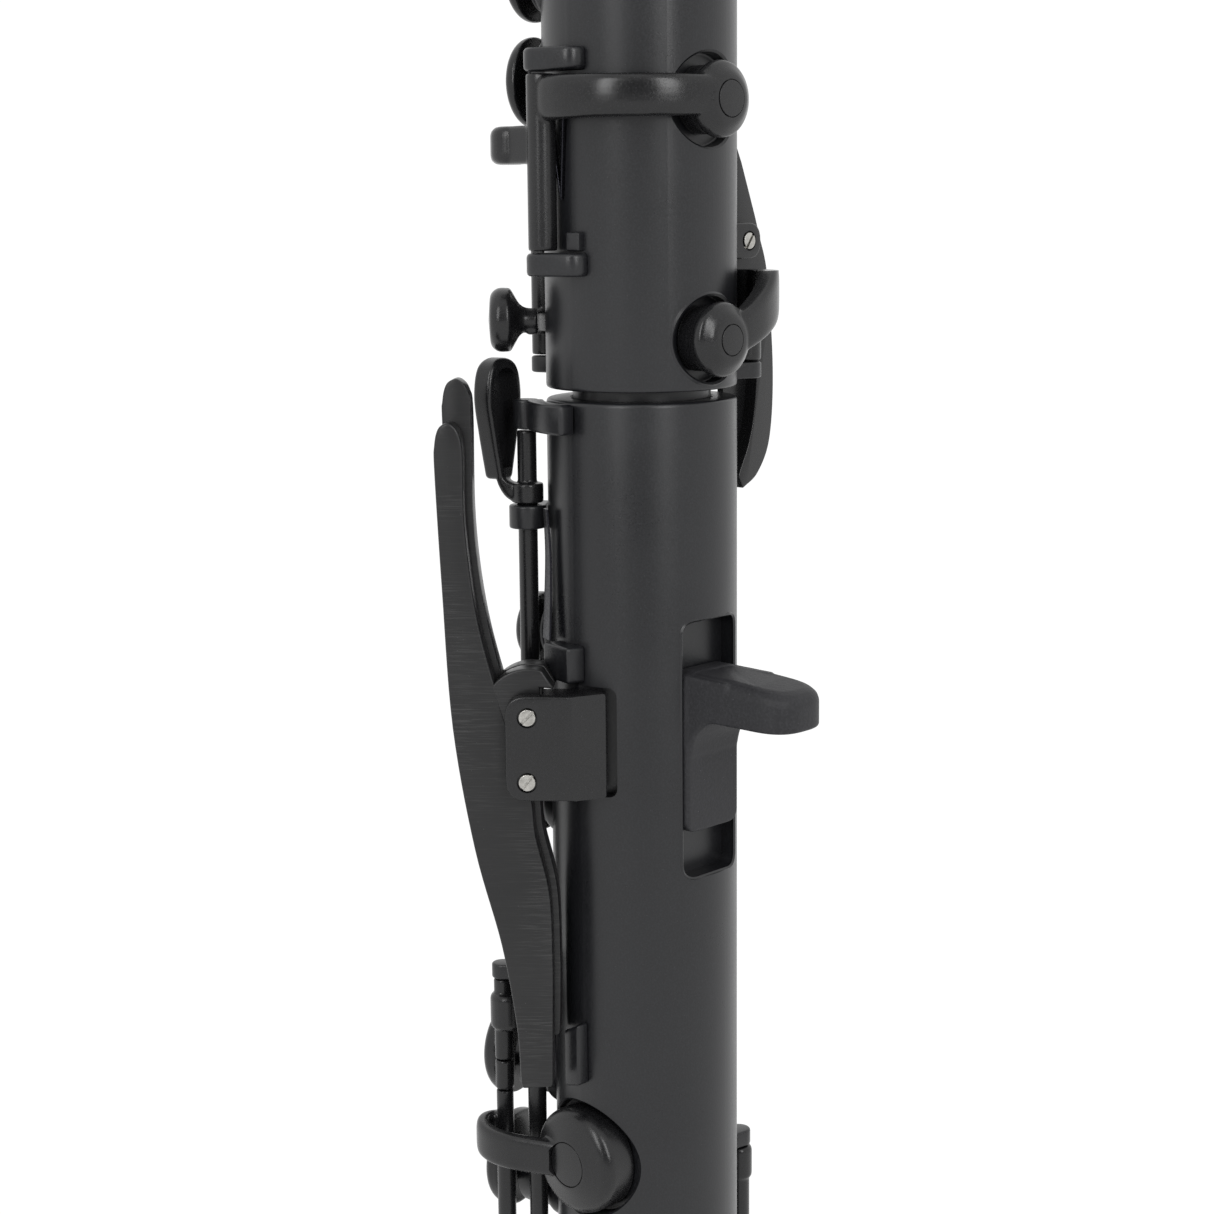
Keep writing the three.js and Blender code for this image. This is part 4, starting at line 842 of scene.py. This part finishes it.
def thumb_rest():
    """A hook for the thumb, one moulding with the plate that slides in the slot."""
    half = 8.0
    plan = [(-half, 17), (half, 17)] + fillet(
        [(half, 30), (half, 44.4), (-half, 44.4), (-half, 30)], [0, 7.6, 7.6, 0], steps=12)
    layers = [(-67.7, -0.8), (-67.3, 0), (-60.6, 0), (-59.4, -0.35), (-58.5, -1.3), (-58.1, -2.6)]
    rings = []
    for z, inset in layers:
        ring = []
        for x, out in plan:
            grow = 1 + inset / half
            reach = out + (inset if out > 30 else 0)
            drop = 0.0016 * max(0, reach - 24) ** 2 * (2.6 if z > -64 else 0.2)
            ring.append(np.array([x * grow, z - drop, reach]) @ axes(SLOT[0]))
        rings.append(ring)
    side = fillet([(15.5, -58.2), (30, -58.6), (30, -67), (25, -67.4), (20.6, -71.4),
                   (19.6, -77), (15.5, -77)], [0, 0, 0, 3, 4, 2, 0])
    web = [np.array([(x, z, out) for out, z in side]) @ axes(SLOT[0]) for x in (-8, 8)]
    plate = prism(rectangle(-8.1, 8.1, -92.2, -57.8, 3), SLOT[0], 15, 19.6)
    hook = mesh_object("thumb_rest", [skin(rings), bevelled(skin(web), 0.6, 3, 50),
                                      bevelled(plate, 0.4)])
    add_modifier(hook, "REMESH", mode="VOXEL", voxel_size=0.28 * MM)
    add_modifier(hook, "SMOOTH", factor=0.5, iterations=8)
    freeze(hook)
    dress(hook, "thumb_rest", "soft_rubber", "thumb_rest")


thumb_rest()


def strap_ring():
    turn = np.linspace(0, 2 * math.pi, 64, endpoint=False)
    rings = []
    for a in turn:
        middle = np.array([0, 33.4 + 8 * math.cos(a), 116 + 8 * math.sin(a)])
        out = np.array([0, math.cos(a), math.sin(a)])
        rings.append([middle + 1.75 * (out * math.cos(b) + np.array([1, 0, 0]) * math.sin(b))
                      for b in np.linspace(0, 2 * math.pi, 24, endpoint=False)])
    return skin(rings, looped=True)


piece("strap_ring", [
    strap_ring(),
    bevelled(prism(rectangle(-2.9, 2.9, 107.2, 124.8, 2.4), 180, 20.35, 22.4), 0.5),
    bevelled(prism(rectangle(-2.2, 2.2, 110, 122, 1.6), 180, 21, 24.5), 0.5),
], "body", "nickel_trim")


# ---- left-hand levers

PIVOT = (-22.7, -66.0)           # across and up, in the levers' plane


def lever_outline(top, bottom, lean):
    inner = [(18.4, -122), (18.9, -105), (21.7, -92), (22.9, -82), (28.5, -64), (33, -46),
             (35.2, -27)]
    head = [(35.3, top - 7), (35.9, top - 2.4), (37.2, top - 0.4), (38.7, top),
            (40.3, top - 1.2), (41.1, top - 4.5)]
    outer = [(41.2, top - 10), (40.2, -40), (38.6, -69), (34.5, -95), (29.2, -116),
             (26.3, -134), (25.6, bottom + 1.2)]
    foot = fillet([(25.5, bottom + 1), (25.3, bottom), (18.8, bottom + 0.4), (18.6, -134)], 0.8,
                  closed=False)
    line = curve(inner + head + outer, 7) + foot[1:]
    return [(lean - reach, z) for reach, z in line]


def lever(name, top, bottom, lean, near, far):
    bar = bevelled(prism(lever_outline(top, bottom, lean), LEVER_PLANE, near, far), 0.55, 3, 50)
    shoulder = [(PIVOT[0] + 9.6 * math.cos(a), PIVOT[1] + 9.6 * math.sin(a))
                for a in np.linspace(1.27, 2.7, 18)]
    hub_outline = [(-20.4, -60.4), (-17.4, -60.6)] + shoulder + [(-33, -66), (-26.5, -76), (-20.4, -71.5)]
    hub = bevelled(prism(hub_outline, LEVER_PLANE, near + 0.05, far - 0.05), 0.4)
    piece(name, [bar, hub], name, "brushed_plastic", crease=40)


lever("low_e_lever", -5.8, -147.6, 0, 16.5, 21.5)
lever("low_f_sharp_lever", 2.7, -138, 1.1, 10.8, 15.8)


def screw_head(centre, azimuth, top, turn, radius=1.75, depth=1.0):
    """A slotted cheese head, and the cutter for its slot."""
    head = turned([(0, top - depth), (radius, top - depth), (radius, top), (0, top)],
                  [0, 0, 0.22, 0], 56, azimuth, 0)
    slot = prism(rectangle(-0.3, 0.3, -2.4, 2.4, 0.05, 1), azimuth, top - 0.75, top + 1)
    c, s = math.cos(math.radians(turn)), math.sin(math.radians(turn))
    local = slot[0] @ axes(azimuth).T
    local[:, :2] = local[:, :2] @ np.array([[c, -s], [s, c]])
    shift = np.array([centre[0], centre[1], 0]) @ axes(azimuth)
    return (head[0] + shift, head[1]), (local @ axes(azimuth) + shift, slot[1])


def bolt(centre, azimuth, near, far, radius=1.2):
    points, faces = drum(radius, near, far, 32, azimuth)
    return points + np.array([centre[0], centre[1], 0]) @ axes(azimuth), faces


BLOCK = fillet([(-27.3, -83.6), (-6.8, -83.6), (-6.8, -61.6), (-27.3, -61.6)],
               [4.2, 0.6, 0.6, 4.2], steps=7)
FOLD = [np.array([x, out]) @ axes(LEVER_PLANE)[[0, 2], :2]
        for x, out in ((-13.6, 24.72), (-6, 20.7), (-6, 30), (-13.6, 30))]
low_screw = (PIVOT[0] - 0.2, PIVOT[1] - 13.7)
piece("lever_block", [bevelled(prism(BLOCK, LEVER_PLANE, 15.9, 24.7), 0.9, 4, 50)],
      "body", "key_plastic", cuts=[
    skin_cut(-90, -50),
    slab(FOLD, -88, -56),
    prism(rectangle(-40, -19.9, -100, -50, 0.3), LEVER_PLANE, 10.3, 22),
    bolt(PIVOT, LEVER_PLANE, 23.7, 30, 2.15), bolt(low_screw, LEVER_PLANE, 23.7, 30, 2.15),
    bolt(PIVOT, LEVER_PLANE, 7, 30, 1.45),
])
for name, centre, turn, shank in (("lever_pivot_screw", PIVOT, 45, 8),
                                  ("block_screw", low_screw, 38, 23.85)):
    head, slot_cut = screw_head(centre, LEVER_PLANE, 24.9, turn)
    shafts = [bolt(centre, LEVER_PLANE, shank, 24.2)] if shank < 20 else []
    piece(name, [head, *shafts], "body", "screw_steel", cuts=[slot_cut])

piece("stop_block", [bevelled(prism([(-2.2, -149.2), (2.2, -148), (2.2, -134.4), (-2.2, -136.6)],
                                    90, 18.8, 22.9), 0.6)],
      "body", "body_plastic",
      cuts=[skin_cut(-155, -130)])


# ---- keys of the upper joint

def domed_cup(azimuth, z, cup, floor, face):
    return turned([
        (0, floor + 0.3), (6.8, floor + 0.3), (6.8, face - 5.6), (cup, face - 4),
        (cup, face - 2.4), (cup - 2.8, face - 0.25), (0, face)],
        [0, 0.3, 0.8, 0.6, 0.9, 1.2, 0], 96, azimuth, z)


def side_pad(azimuth, z):
    return turned([(0, 20.5), (6.9, 20.5), (6.9, 23.6), (5.4, 24.9), (0, 24.9)],
                  [0, 0.4, 1, 1.2, 0], 72, azimuth, z)


def insert(name, azimuth, z, radius, face, body):
    """The flat disc in the middle of a cup, in a narrow groove."""
    disc = turned([(0, face - 0.9), (radius, face - 0.9), (radius, face - 0.04),
                   (0, face - 0.04)], [0, 0, 0.12, 0], 80, azimuth, z)
    piece(name, [disc], body, "key_plastic", own_node=False)


def insert_seat(azimuth, z, radius, face):
    return drum(radius + 0.22, face - 0.85, face + 1, 80, azimuth, z)


def ring_bar(az0, az1, inner, outer, z0, z1, edge=0.7, count=20):
    return bevelled(slab(ring_outline(az0, az1, inner, outer, count), z0, z1), edge, 3, 50)


def plan_bar(start, end, half_width, z0, z1, edge=0.6):
    return bevelled(slab(bar_outline(start, end, half_width), z0, z1), edge, 3, 50)


piece("c_sharp_key", [
    rod(*C_SHARP_ROD, 2.95, 28.4, 63.3, 0.4),
    sweep([at(a, r, 58.6) for a, r in ((79, 23.2), (88, 23.6), (100, 23.7), (118, 23.6),
                                       (136, 23.5), (152, 23.5), (168, 23.6), (176, 23.4))],
          [(4.6, 9.2), (4.8, 9.0), (4.8, 8.7), (4.7, 8.5), (4.6, 8.4), (4.4, 8.2), (4.2, 7.9),
           (4.0, 7.7)], 3.0),
    plan_bar(C_SHARP_ROD, (57, 27.3), 2.5, 45.7, 53.3, 1.2),
    plan_bar((57, 27), (50, 26.8), 4.0, 45.7, 53.3, 1.8),
    domed_cup(180, C_SHARP, 7.6, 16.4, 25.85),
], "c_sharp_key", "key_plastic", voxel=0.28,
    cuts=[insert_seat(180, C_SHARP, 3.55, 25.85)])
insert("c_sharp_insert", 180, C_SHARP, 3.55, 25.85, "c_sharp_key")

piece("c_sharp_spring", [
    sweep([at(79.5, 21.6, 54.6), at(81, 20.9, 47), at(84.5, 20.5, 38.6)],
          [(0.5, 1.0)] * 3, 4, up=axes(82)[2], ends=(False, False)),
    sweep([at(87.5, 20.6, 54.6), at(86, 20.5, 47), at(84.5, 20.5, 38.6)],
          [(0.5, 1.0)] * 3, 4, up=axes(86)[2], ends=(False, False)),
], "body", "spring_steel", own_node=False)
piece("c_sharp_spring_seat", [
    bevelled(prism(rectangle(-1.7, 1.7, 28.3, 32.1, 0.5), 95, 19, 21.6), 0.4)],
      "body", "body_plastic", own_node=False)

for name, z0, z1 in (("c_sharp_post_upper", 63.75, 68.35), ("c_sharp_post_lower", 23.25, 27.95)):
    piece(name, [plan_bar((93.4, 20.8), C_SHARP_ROD, 3.35, z0, z1, 0.9)], "body",
          "body_plastic", cuts=[skin_cut(z0 - 2, z1 + 2)])

piece("side_b_flat_key", [
    domed_cup(180, SIDE_B_FLAT, 7.6, 16.4, 26.05),
    sweep([at(*p) for p in ((184, 23, 10.6), (194, 24.2, 12.4), (205, 25.5, 15),
                            (215, 26.3, 17.6), (224, 26.5, 19.4), (234, 26, 20.6),
                            (243, 25, 21))],
          [(4, 8.2), (4.2, 8.8), (4.4, 10.0), (4.5, 11.6), (4.5, 12.4), (4.4, 12), (4.4, 12)], 4.4,
          ends=(True, False)),
    rod(*SIDE_B_FLAT_ROD, 2.95, 4.6, 24, 0.5),
], "side_b_flat_key", "key_plastic", voxel=0.28,
    cuts=[insert_seat(180, SIDE_B_FLAT, 3.05, 26.05), drum(60, 23.7, 40, 24),
          drum(20.6, -5, 4, 96)])
insert("side_b_flat_insert", 180, SIDE_B_FLAT, 3.05, 26.05, "side_b_flat_key")

SIDE_PIN = (24.4, 29.6)
side_lever_line = (
    [(22.2, 52), (25, 46), (29.2, 35)]
    + curve([(30.6, 31), (33.3, 22), (35.2, 2), (34.2, -13), (30.4, -20.5), (25.4, -23.7)], 8)
    + curve([(23.9, -20.8), (27.4, -13.5), (29.3, -5), (29.8, 6), (27.2, 17), (23, 22)], 8)
    + [(21.5, 30), (21.5, 52)])
piece("side_lever", [
    bevelled(prism(side_lever_line, 180, 0.85, 5.75), 0.6, 3, 50),
    bevelled(prism(rectangle(21.5, 23.3, 44, 106, 0.5), 180, 0.85, 4.2), 0.4, 3, 50),
    prism(curve([(22.2, 38), (22.2, 22), (22.3, 5), (22.7, -10), (23.1, -20.4)], 4)
          + [(28, -18), (31.5, 0), (27.5, 30)], 180, 0.85, 2.5),
    side_pad(270, 106),
], "side_lever", "key_plastic", crease=40)
head, slot_cut = screw_head(SIDE_PIN, 180, 8.6, 35, depth=0.9)
piece("side_lever_screw", [head, bolt(SIDE_PIN, 180, -0.8, 7.9)], "body", "screw_steel",
      cuts=[slot_cut])
piece("side_lever_bracket", [
    bevelled(prism(rectangle(17, 28.2, 25.8, 33.4, 3.7), 180, 6.1, 8.35), 0.45, 3, 50),
    bevelled(prism(rectangle(17, 27.9, 25.9, 33.3, 0.8), 180, -2.4, 0.5), 0.4, 3, 50),
    prism(rectangle(17, 20.9, 25.9, 33.3, 0.4), 180, -2.3, 8.2),
], "body", "key_plastic", cuts=[
    skin_cut(20, 40), bolt(SIDE_PIN, 180, 7.7, 20, 2.1)])

piece("button_key", [
    turned([
        (0, 21.6), (2.3, 21.6), (2.5, 25.0), (6.6, 27.3), (6.7, 29.9), (5.5, 31.4), (0, 31.85)],
        [0, 0.3, 1.6, 0.5, 1.6, 1.8, 0], 96, 46, 14),
    ring_bar(14, 50, 21.5, 24.1, 10.9, 15.5), rod(*BUTTON_ROD, 2.65, 6, 30),
    ring_bar(334, 374, 21.7, 24.1, 17.1, 22.9),
    side_pad(334, 20),
], "button_key", "key_plastic", voxel=0.3, smooth=3)

piece("thumb_key", [
    turned([(0, 22.7), (8.9, 22.7), (8.9, 25.8), (7.6, 27.1), (0, 26.7)],
           [0, 0.6, 0.8, 1.2, 0], 96, 180, 190),
    ring_bar(182, 216, 23.1, 25.5, 187.2, 192.8), rod(*THUMB_ROD, 2.65, 177, 203),
], "thumb_key", "key_plastic", voxel=0.3)


def rocker(name, azimuth, pad, pivot, touch, cup):
    path = [at(azimuth, r, z) for r, z in (
        (23.6, pad), (24.4, pivot + 12), (25.6, pivot), (25.6, (pivot + touch) / 2),
        (25.4, touch + 9), (25.8, touch - 8))]
    arm = sweep(path, [(4.2, 2.5), (4.2, 2.5), (4.4, 2.5), (4.2, 2.5), (9, 2.4), (9.5, 2.2)], 3.4,
                up=axes(azimuth)[2])
    disc = turned([(0, 20.5), (cup, 20.5), (cup, 23.4), (cup - 1.2, 24.3), (0, 24.3)],
                  [0, 0.4, 0.8, 1, 0], 72, azimuth, pad)
    hub = sweep([at(azimuth, 25.6, pivot) + axes(azimuth)[0] * d for d in (-6.9, 0, 6.9)],
                [(4.3, 4.3)] * 3, 2, ends=(False, False))
    piece(name + "_key", [arm, disc, hub], name + "_key", "key_plastic", voxel=0.3)
    ear = rectangle(pivot - 3.3, pivot + 3.3, 17, 28.1, 2.6)
    ears = []
    for x0, x1 in ((-10.7, -7.35), (7.35, 10.7)):
        rings = [np.array([(x, z, out) for z, out in ear]) @ axes(azimuth) for x in (x0, x1)]
        ears.append(bevelled(skin(rings), 0.4, 3, 50))
    saddle = bevelled(prism(rectangle(-9, 9, pivot - 3.3, pivot + 3.3, 0.6), azimuth, 15, 22.5),
                      0.5)
    piece(name + "_post", [*ears, saddle], "body", "body_plastic",
          cuts=[skin_cut(pivot - 9, pivot + 9)])


rocker("register", 180, 352, 300, 226, 5.4)
rocker("throat_a", 0, 348, 318, 236, 6.4)
rocker("throat_g_sharp", 58, 322, 292, 214, 6.4)


# ---- leaf key and its neighbours

LEAF_ROD = (45.7, 24.3)


def leaf_touch():
    """The leaf-shaped touch, and the cutter that hollows it from behind."""
    outline = curve([(-2.2, -19.5), (-4.6, -10), (-6.1, -2), (-4.6, 4.2), (0, 6.1), (4.6, 4.2),
                     (6.1, -2), (4.6, -10), (2.2, -19.5)], 8)
    inner = [(x * 0.74, z * 0.82 - 1.0) for x, z in outline]
    solids = (bevelled(prism(outline, 14, 0.05, 4.5), 0.9, 4, 50), prism(inner, 14, -2, 2.2))
    return [(points + at(45.3, 28.4), faces) for points, faces in solids]


plate, hollow = leaf_touch()
piece("leaf_key", [
    plate, rod(*LEAF_ROD, 3.4, -24.4, -20.2, 0.5), rod(*LEAF_ROD, 2.05, -126.2, -9.1, 0.3),
    sweep([at(43.8, 30.3, -17), at(44.2, 29.6, -19.6), at(45, 27.8, -21.8), at(45.7, 25, -22.4)],
          [(4.4, 4.6), (4.4, 4.4), (4.4, 4.2), (4.4, 4.0)], 3),
], "leaf_key", "key_plastic", voxel=0.26, smooth=3, cuts=[hollow])
piece("inner_tube", [rod(*LEAF_ROD, 2.05, -196, -130.5, 0.3)], "body", "key_plastic")
piece("leaf_post_upper", [
    ring_bar(45.7, 92.5, 20.4, 24.3, -8.75, -2.55, 0.7),
    rod(*LEAF_ROD, 2.75, -8.75, -2.55, 0.6),
], "body", "body_plastic", cuts=[skin_cut(-12, 2)])
piece("leaf_post_lower", [
    rod(*LEAF_ROD, 3.95, -29.8, -24.85, 0.5), ring_bar(28, 45.7, 20.4, 23.5, -29.8, -24.85, 0.5),
], "body", "body_plastic", cuts=[
    drum(2.4, -31, -23, 48, centre=at(*LEAF_ROD)[:2]),
    skin_cut(-32, -22)])
piece("spring_block", [bevelled(prism(rectangle(-3.4, 6, -60.2, -52.6, 0.8), 80, 19, 23.4), 0.6)],
      "body", "body_plastic", cuts=[skin_cut(-64, -50)])
piece("leaf_spring", [
    sweep([at(68, 22.1, -52.3), at(68, 21.7, -44), at(68, 21.5, -34), at(67, 21.8, -24.8)],
          [(0.5, 4.4), (0.5, 3.8), (0.5, 3.0), (0.5, 2.2)], 5, up=axes(68)[0],
          ends=(False, False))],
      "body", "spring_steel")


# ---- finger keys and low keys

def plateau(azimuth, z, cup, under, face, edge=1.2, dish=0.5):
    return turned([(0, under), (cup - 0.1, under), (cup - 0.1, face - edge),
                   (cup - edge, face - 0.05), (cup * 0.5, face - dish), (0, face - dish)],
                  [0, 0.5, 0.8, 0.9, 2, 0], 96, azimuth, z)


for name, (z, cup, face, (low, high)) in STACK.items():
    heights = [z, SECOND_PAD] if name == "lh_ring_key" else [z]
    parts = [rod(*FINGER_ROD, 2.65, low, high)]
    for height in heights:
        parts += [plateau(FRONT, height, cup, CHIMNEY_TOP + 2.25, face),
                  ring_bar(330, 372, 25.15, 27.1, height - 2.7, height + 2.7, 0.6)]
    piece(name, parts, name, "key_plastic", voxel=0.3, smooth=3)

for name, (z, (low, high)) in OPEN_PADS.items():
    piece(name, [
        rod(*OUTBOARD, 2.05, low, high, 0.2),
        plateau(FRONT, z, 11.1, 33.05, 36.95, 1.3, 0.6),
        plan_bar(OUTBOARD, (23, 35), 1.65, z - 2.1, z + 2.1, 0.5),
    ], name, "key_plastic", voxel=0.28, smooth=3)

piece("tab_key", [
    rod(*OUTBOARD, 2.05, -149, -130.5, 0.3),
    plan_bar((42, 30.6), (33, 30), 3.9, -141.9, -133.7, 1.2),
], "tab_key", "key_plastic", voxel=0.26, smooth=3)

piece("a_flat_key", [
    turned([(0, 15.5), (11.6, 15.5), (11.6, 21.8), (10.4, 23.3), (5.2, 24.75), (0, 24.75)],
           [0, 0.5, 0.9, 1.2, 0.4, 0], 128, 90, A_FLAT),
    sweep([at(*p) for p in ((84, 23.0, -166), (77, 25.2, -166), (70, 28, -166), (63.5, 31.4, -166),
                            (57, 34.2, -166), (51, 36.0, -165.8), (46, 36.2, -165.6),
                            (42.4, 35, -165.5), (41, 32, -165.4))],
          [(3.3, 7.6), (3.3, 7.8), (3.3, 7.9), (3.3, 7.9), (3.3, 7.9), (3.3, 7.9), (3.3, 7.8),
           (3.3, 7.6), (3.3, 7.6)], 4, ends=(True, False)),
    rod(*OUTBOARD, 1.9, -171.3, -156.3, 0.2),
], "a_flat_key", "key_plastic", voxel=0.3,
    cuts=[insert_seat(90, A_FLAT, 4.8, 24.75)])
insert("a_flat_insert", 90, A_FLAT, 4.8, 24.75, "a_flat_key")

for name, (azimuth, top, pad, pad_azimuth) in LOW_KEYS.items():
    piece(name, [
        rod(azimuth, LOW_ROD_REACH, 2.4, pad - 8, top),
        plateau(pad_azimuth, pad, 14, 25.45, 30.35, 1.6, 0.3),
        ring_bar(azimuth, pad_azimuth, 27.9, 29.9, pad - 3.3, pad + 3.3, 0.6, 28),
        plan_bar((azimuth, LOW_ROD_REACH), (azimuth + 14, 31.1), 3, top - 8, top, 1.1),
    ], name, "key_plastic", voxel=0.34, smooth=3)

piece("sliver_key", [
    rod(*SLIVER_ROD, 2.25, -92, -48),
    turned([(0, 20.6), (6.4, 20.6), (6.4, 24.8), (5.2, 25.9), (0, 25.9)],
           [0, 0.4, 0.8, 1, 0], 72, 275, -58.6),
    ring_bar(275, 302, 21.5, 23.9, -61.1, -56.1, 0.5),
    plan_bar(SLIVER_ROD, (311, 27.6), 1.65, -84.9, -72.1, 0.8),
], "sliver_key", "key_plastic", voxel=0.3, smooth=3)


# ---- floor peg

PEG_CENTRE = (0, 31)
CLAMP_BOTTOM = 150.1
CLAMP_TOP = 175.9


def row(z):
    """A height over the floor, as a height over the joint line."""
    return z - ORIGIN[2] / MM


def peg_lathe(points, radii, sides=64):
    return lathe([(r, row(z)) for r, z in fillet(points, radii, closed=False)], sides,
                 centre=PEG_CENTRE)


piece("peg_rod", [peg_lathe([(0, 16), (4, 16), (4, 190), (0, 190)], [0, 0.3, 0.8, 0])],
      "peg", "nickel_trim")
piece("peg_foot", [peg_lathe([(0, 0), (5.9, 0), (6.95, 2), (6.4, 6), (6.4, 7), (5.8, 8), (5.4, 15.7),
                              (0, 15.7)], [0, 0.7, 1.2, 0.3, 0.3, 0.3, 0.6, 0])],
      "peg", "soft_rubber")
piece("peg_clamp", [
    bevelled(box((-7.9, 7.9), (1, 31), (row(CLAMP_BOTTOM), row(CLAMP_TOP))), 1.2, 4),
    peg_lathe([(0, CLAMP_BOTTOM), (8.35, CLAMP_BOTTOM), (8.35, CLAMP_TOP), (0, CLAMP_TOP)],
              [0, 1, 1, 0], 96),
], "body", "nickel_trim", cuts=[
    peg_lathe([(0, 140), (4.3, 140), (4.3, 190), (0, 190)], 0),
    pipe(bell_path, lambda t: bell_outer(t) + 0.3, lambda t: 2.0, 0.01, BOW_END, 60, 64),
])
thumb_screw = drum(1.95, 4.6, 13, 40, 180)
wing = bevelled(prism(rectangle(-6.9, 6.9, -4.4, 4.4, 3.8), 180, 15.4, 18.6), 1.0)
collar = turned([(0, 12.4), (3.6, 12.4), (3.0, 15.6), (0, 15.6)], [0, 0.4, 0.4, 0], 48, 180)
peg_offset = np.array([0, 31, row(163)])
piece("peg_screw", [(p + peg_offset, f) for p, f in (thumb_screw, wing, collar)],
      "peg_screw", "screw_steel")


# ---- studio

SOFTBOX_REACH = 1.3              # metres from the bore, and above the joint line
SOFTBOX_RISE = 0.74
SOFTBOX_HEIGHT = 1.2
VIEWER_SIDE_TONE = 0.22          # the room's brightness behind the camera


def backdrop_white():
    """White paper: lit near the object, and as bright as the background far away."""
    n = Nodes("floor")
    distance = n.add("ShaderNodeVectorMath", operation="LENGTH")
    n.link(n.place, distance.inputs[0])
    far = n.remap(distance.outputs["Value"], 0.35, 1.1, 0, 1)
    n.link(n.mix(n.noise(6, 2), (0.80, 0.80, 0.80), (0.84, 0.84, 0.84)),
           n.shader.inputs["Base Color"])
    n.shader.inputs["Roughness"].default_value = 0.9
    glow = n.add("ShaderNodeEmission")
    glow.inputs["Strength"].default_value = 1.05
    blend = n.add("ShaderNodeMixShader")
    n.link(far, blend.inputs["Fac"])
    n.link(n.shader.outputs["BSDF"], blend.inputs[1])
    n.link(glow.outputs["Emission"], blend.inputs[2])
    n.link(blend.outputs["Shader"], n.tree.nodes["Material Output"].inputs["Surface"])
    return n.material


def add_stage():
    mesh = bpy.data.meshes.new("floor")
    mesh.from_pydata([(x * 30, y * 30, -0.0002) for x, y in ((-1, -1), (1, -1), (1, 1), (-1, 1))],
                     [], [(0, 1, 2, 3)])
    floor = bpy.data.objects.new("floor", mesh)
    bpy.context.scene.collection.objects.link(floor)
    mesh.materials.append(backdrop_white())


def add_world(toward, side_tone):
    """A white room, darker on the side where the viewer stands."""
    world = bpy.data.worlds.new("studio")
    world.use_nodes = True
    bpy.context.scene.world = world
    tree = world.node_tree
    ground = tree.nodes["Background"]
    spot = tree.nodes.new("ShaderNodeTexCoord")
    facing = tree.nodes.new("ShaderNodeVectorMath")
    facing.operation = "DOT_PRODUCT"
    facing.inputs[1].default_value = toward
    tree.links.new(spot.outputs["Generated"], facing.inputs[0])
    fade = tree.nodes.new("ShaderNodeMapRange")
    fade.interpolation_type = "SMOOTHSTEP"
    for key, number in (("From Min", 0.4), ("From Max", 1.0), ("To Min", 1.04),
                        ("To Max", side_tone)):
        fade.inputs[key].default_value = number
    tree.links.new(facing.outputs["Value"], fade.inputs["Value"])
    tree.links.new(fade.outputs["Result"], ground.inputs["Strength"])
    ground.inputs["Color"].default_value = (1, 1, 1, 1)


def add_softbox(name, azimuth, width, power):
    data = bpy.data.lights.new(name, "AREA")
    data.shape = "RECTANGLE"
    data.size, data.size_y = width, SOFTBOX_HEIGHT
    data.energy = power
    light = bpy.data.objects.new(name, data)
    bpy.context.scene.collection.objects.link(light)
    right, up, out = (Vector(v) for v in axes(azimuth))
    place = Vector(ORIGIN) + out * SOFTBOX_REACH + up * SOFTBOX_RISE
    light.matrix_world = (Matrix.Translation(place)
                          @ Matrix((right, up, out)).transposed().to_4x4())


add_camera()
add_stage()
add_world(tuple(axes(CAMERA_AZIMUTH)[2]), VIEWER_SIDE_TONE)
for side, azimuth, width, power in (("left", 106, 0.34, 8), ("right", 163, 0.36, 9)):
    add_softbox(side + "_softbox", azimuth, width, power)
bpy.context.scene.view_settings.view_transform = "Standard"
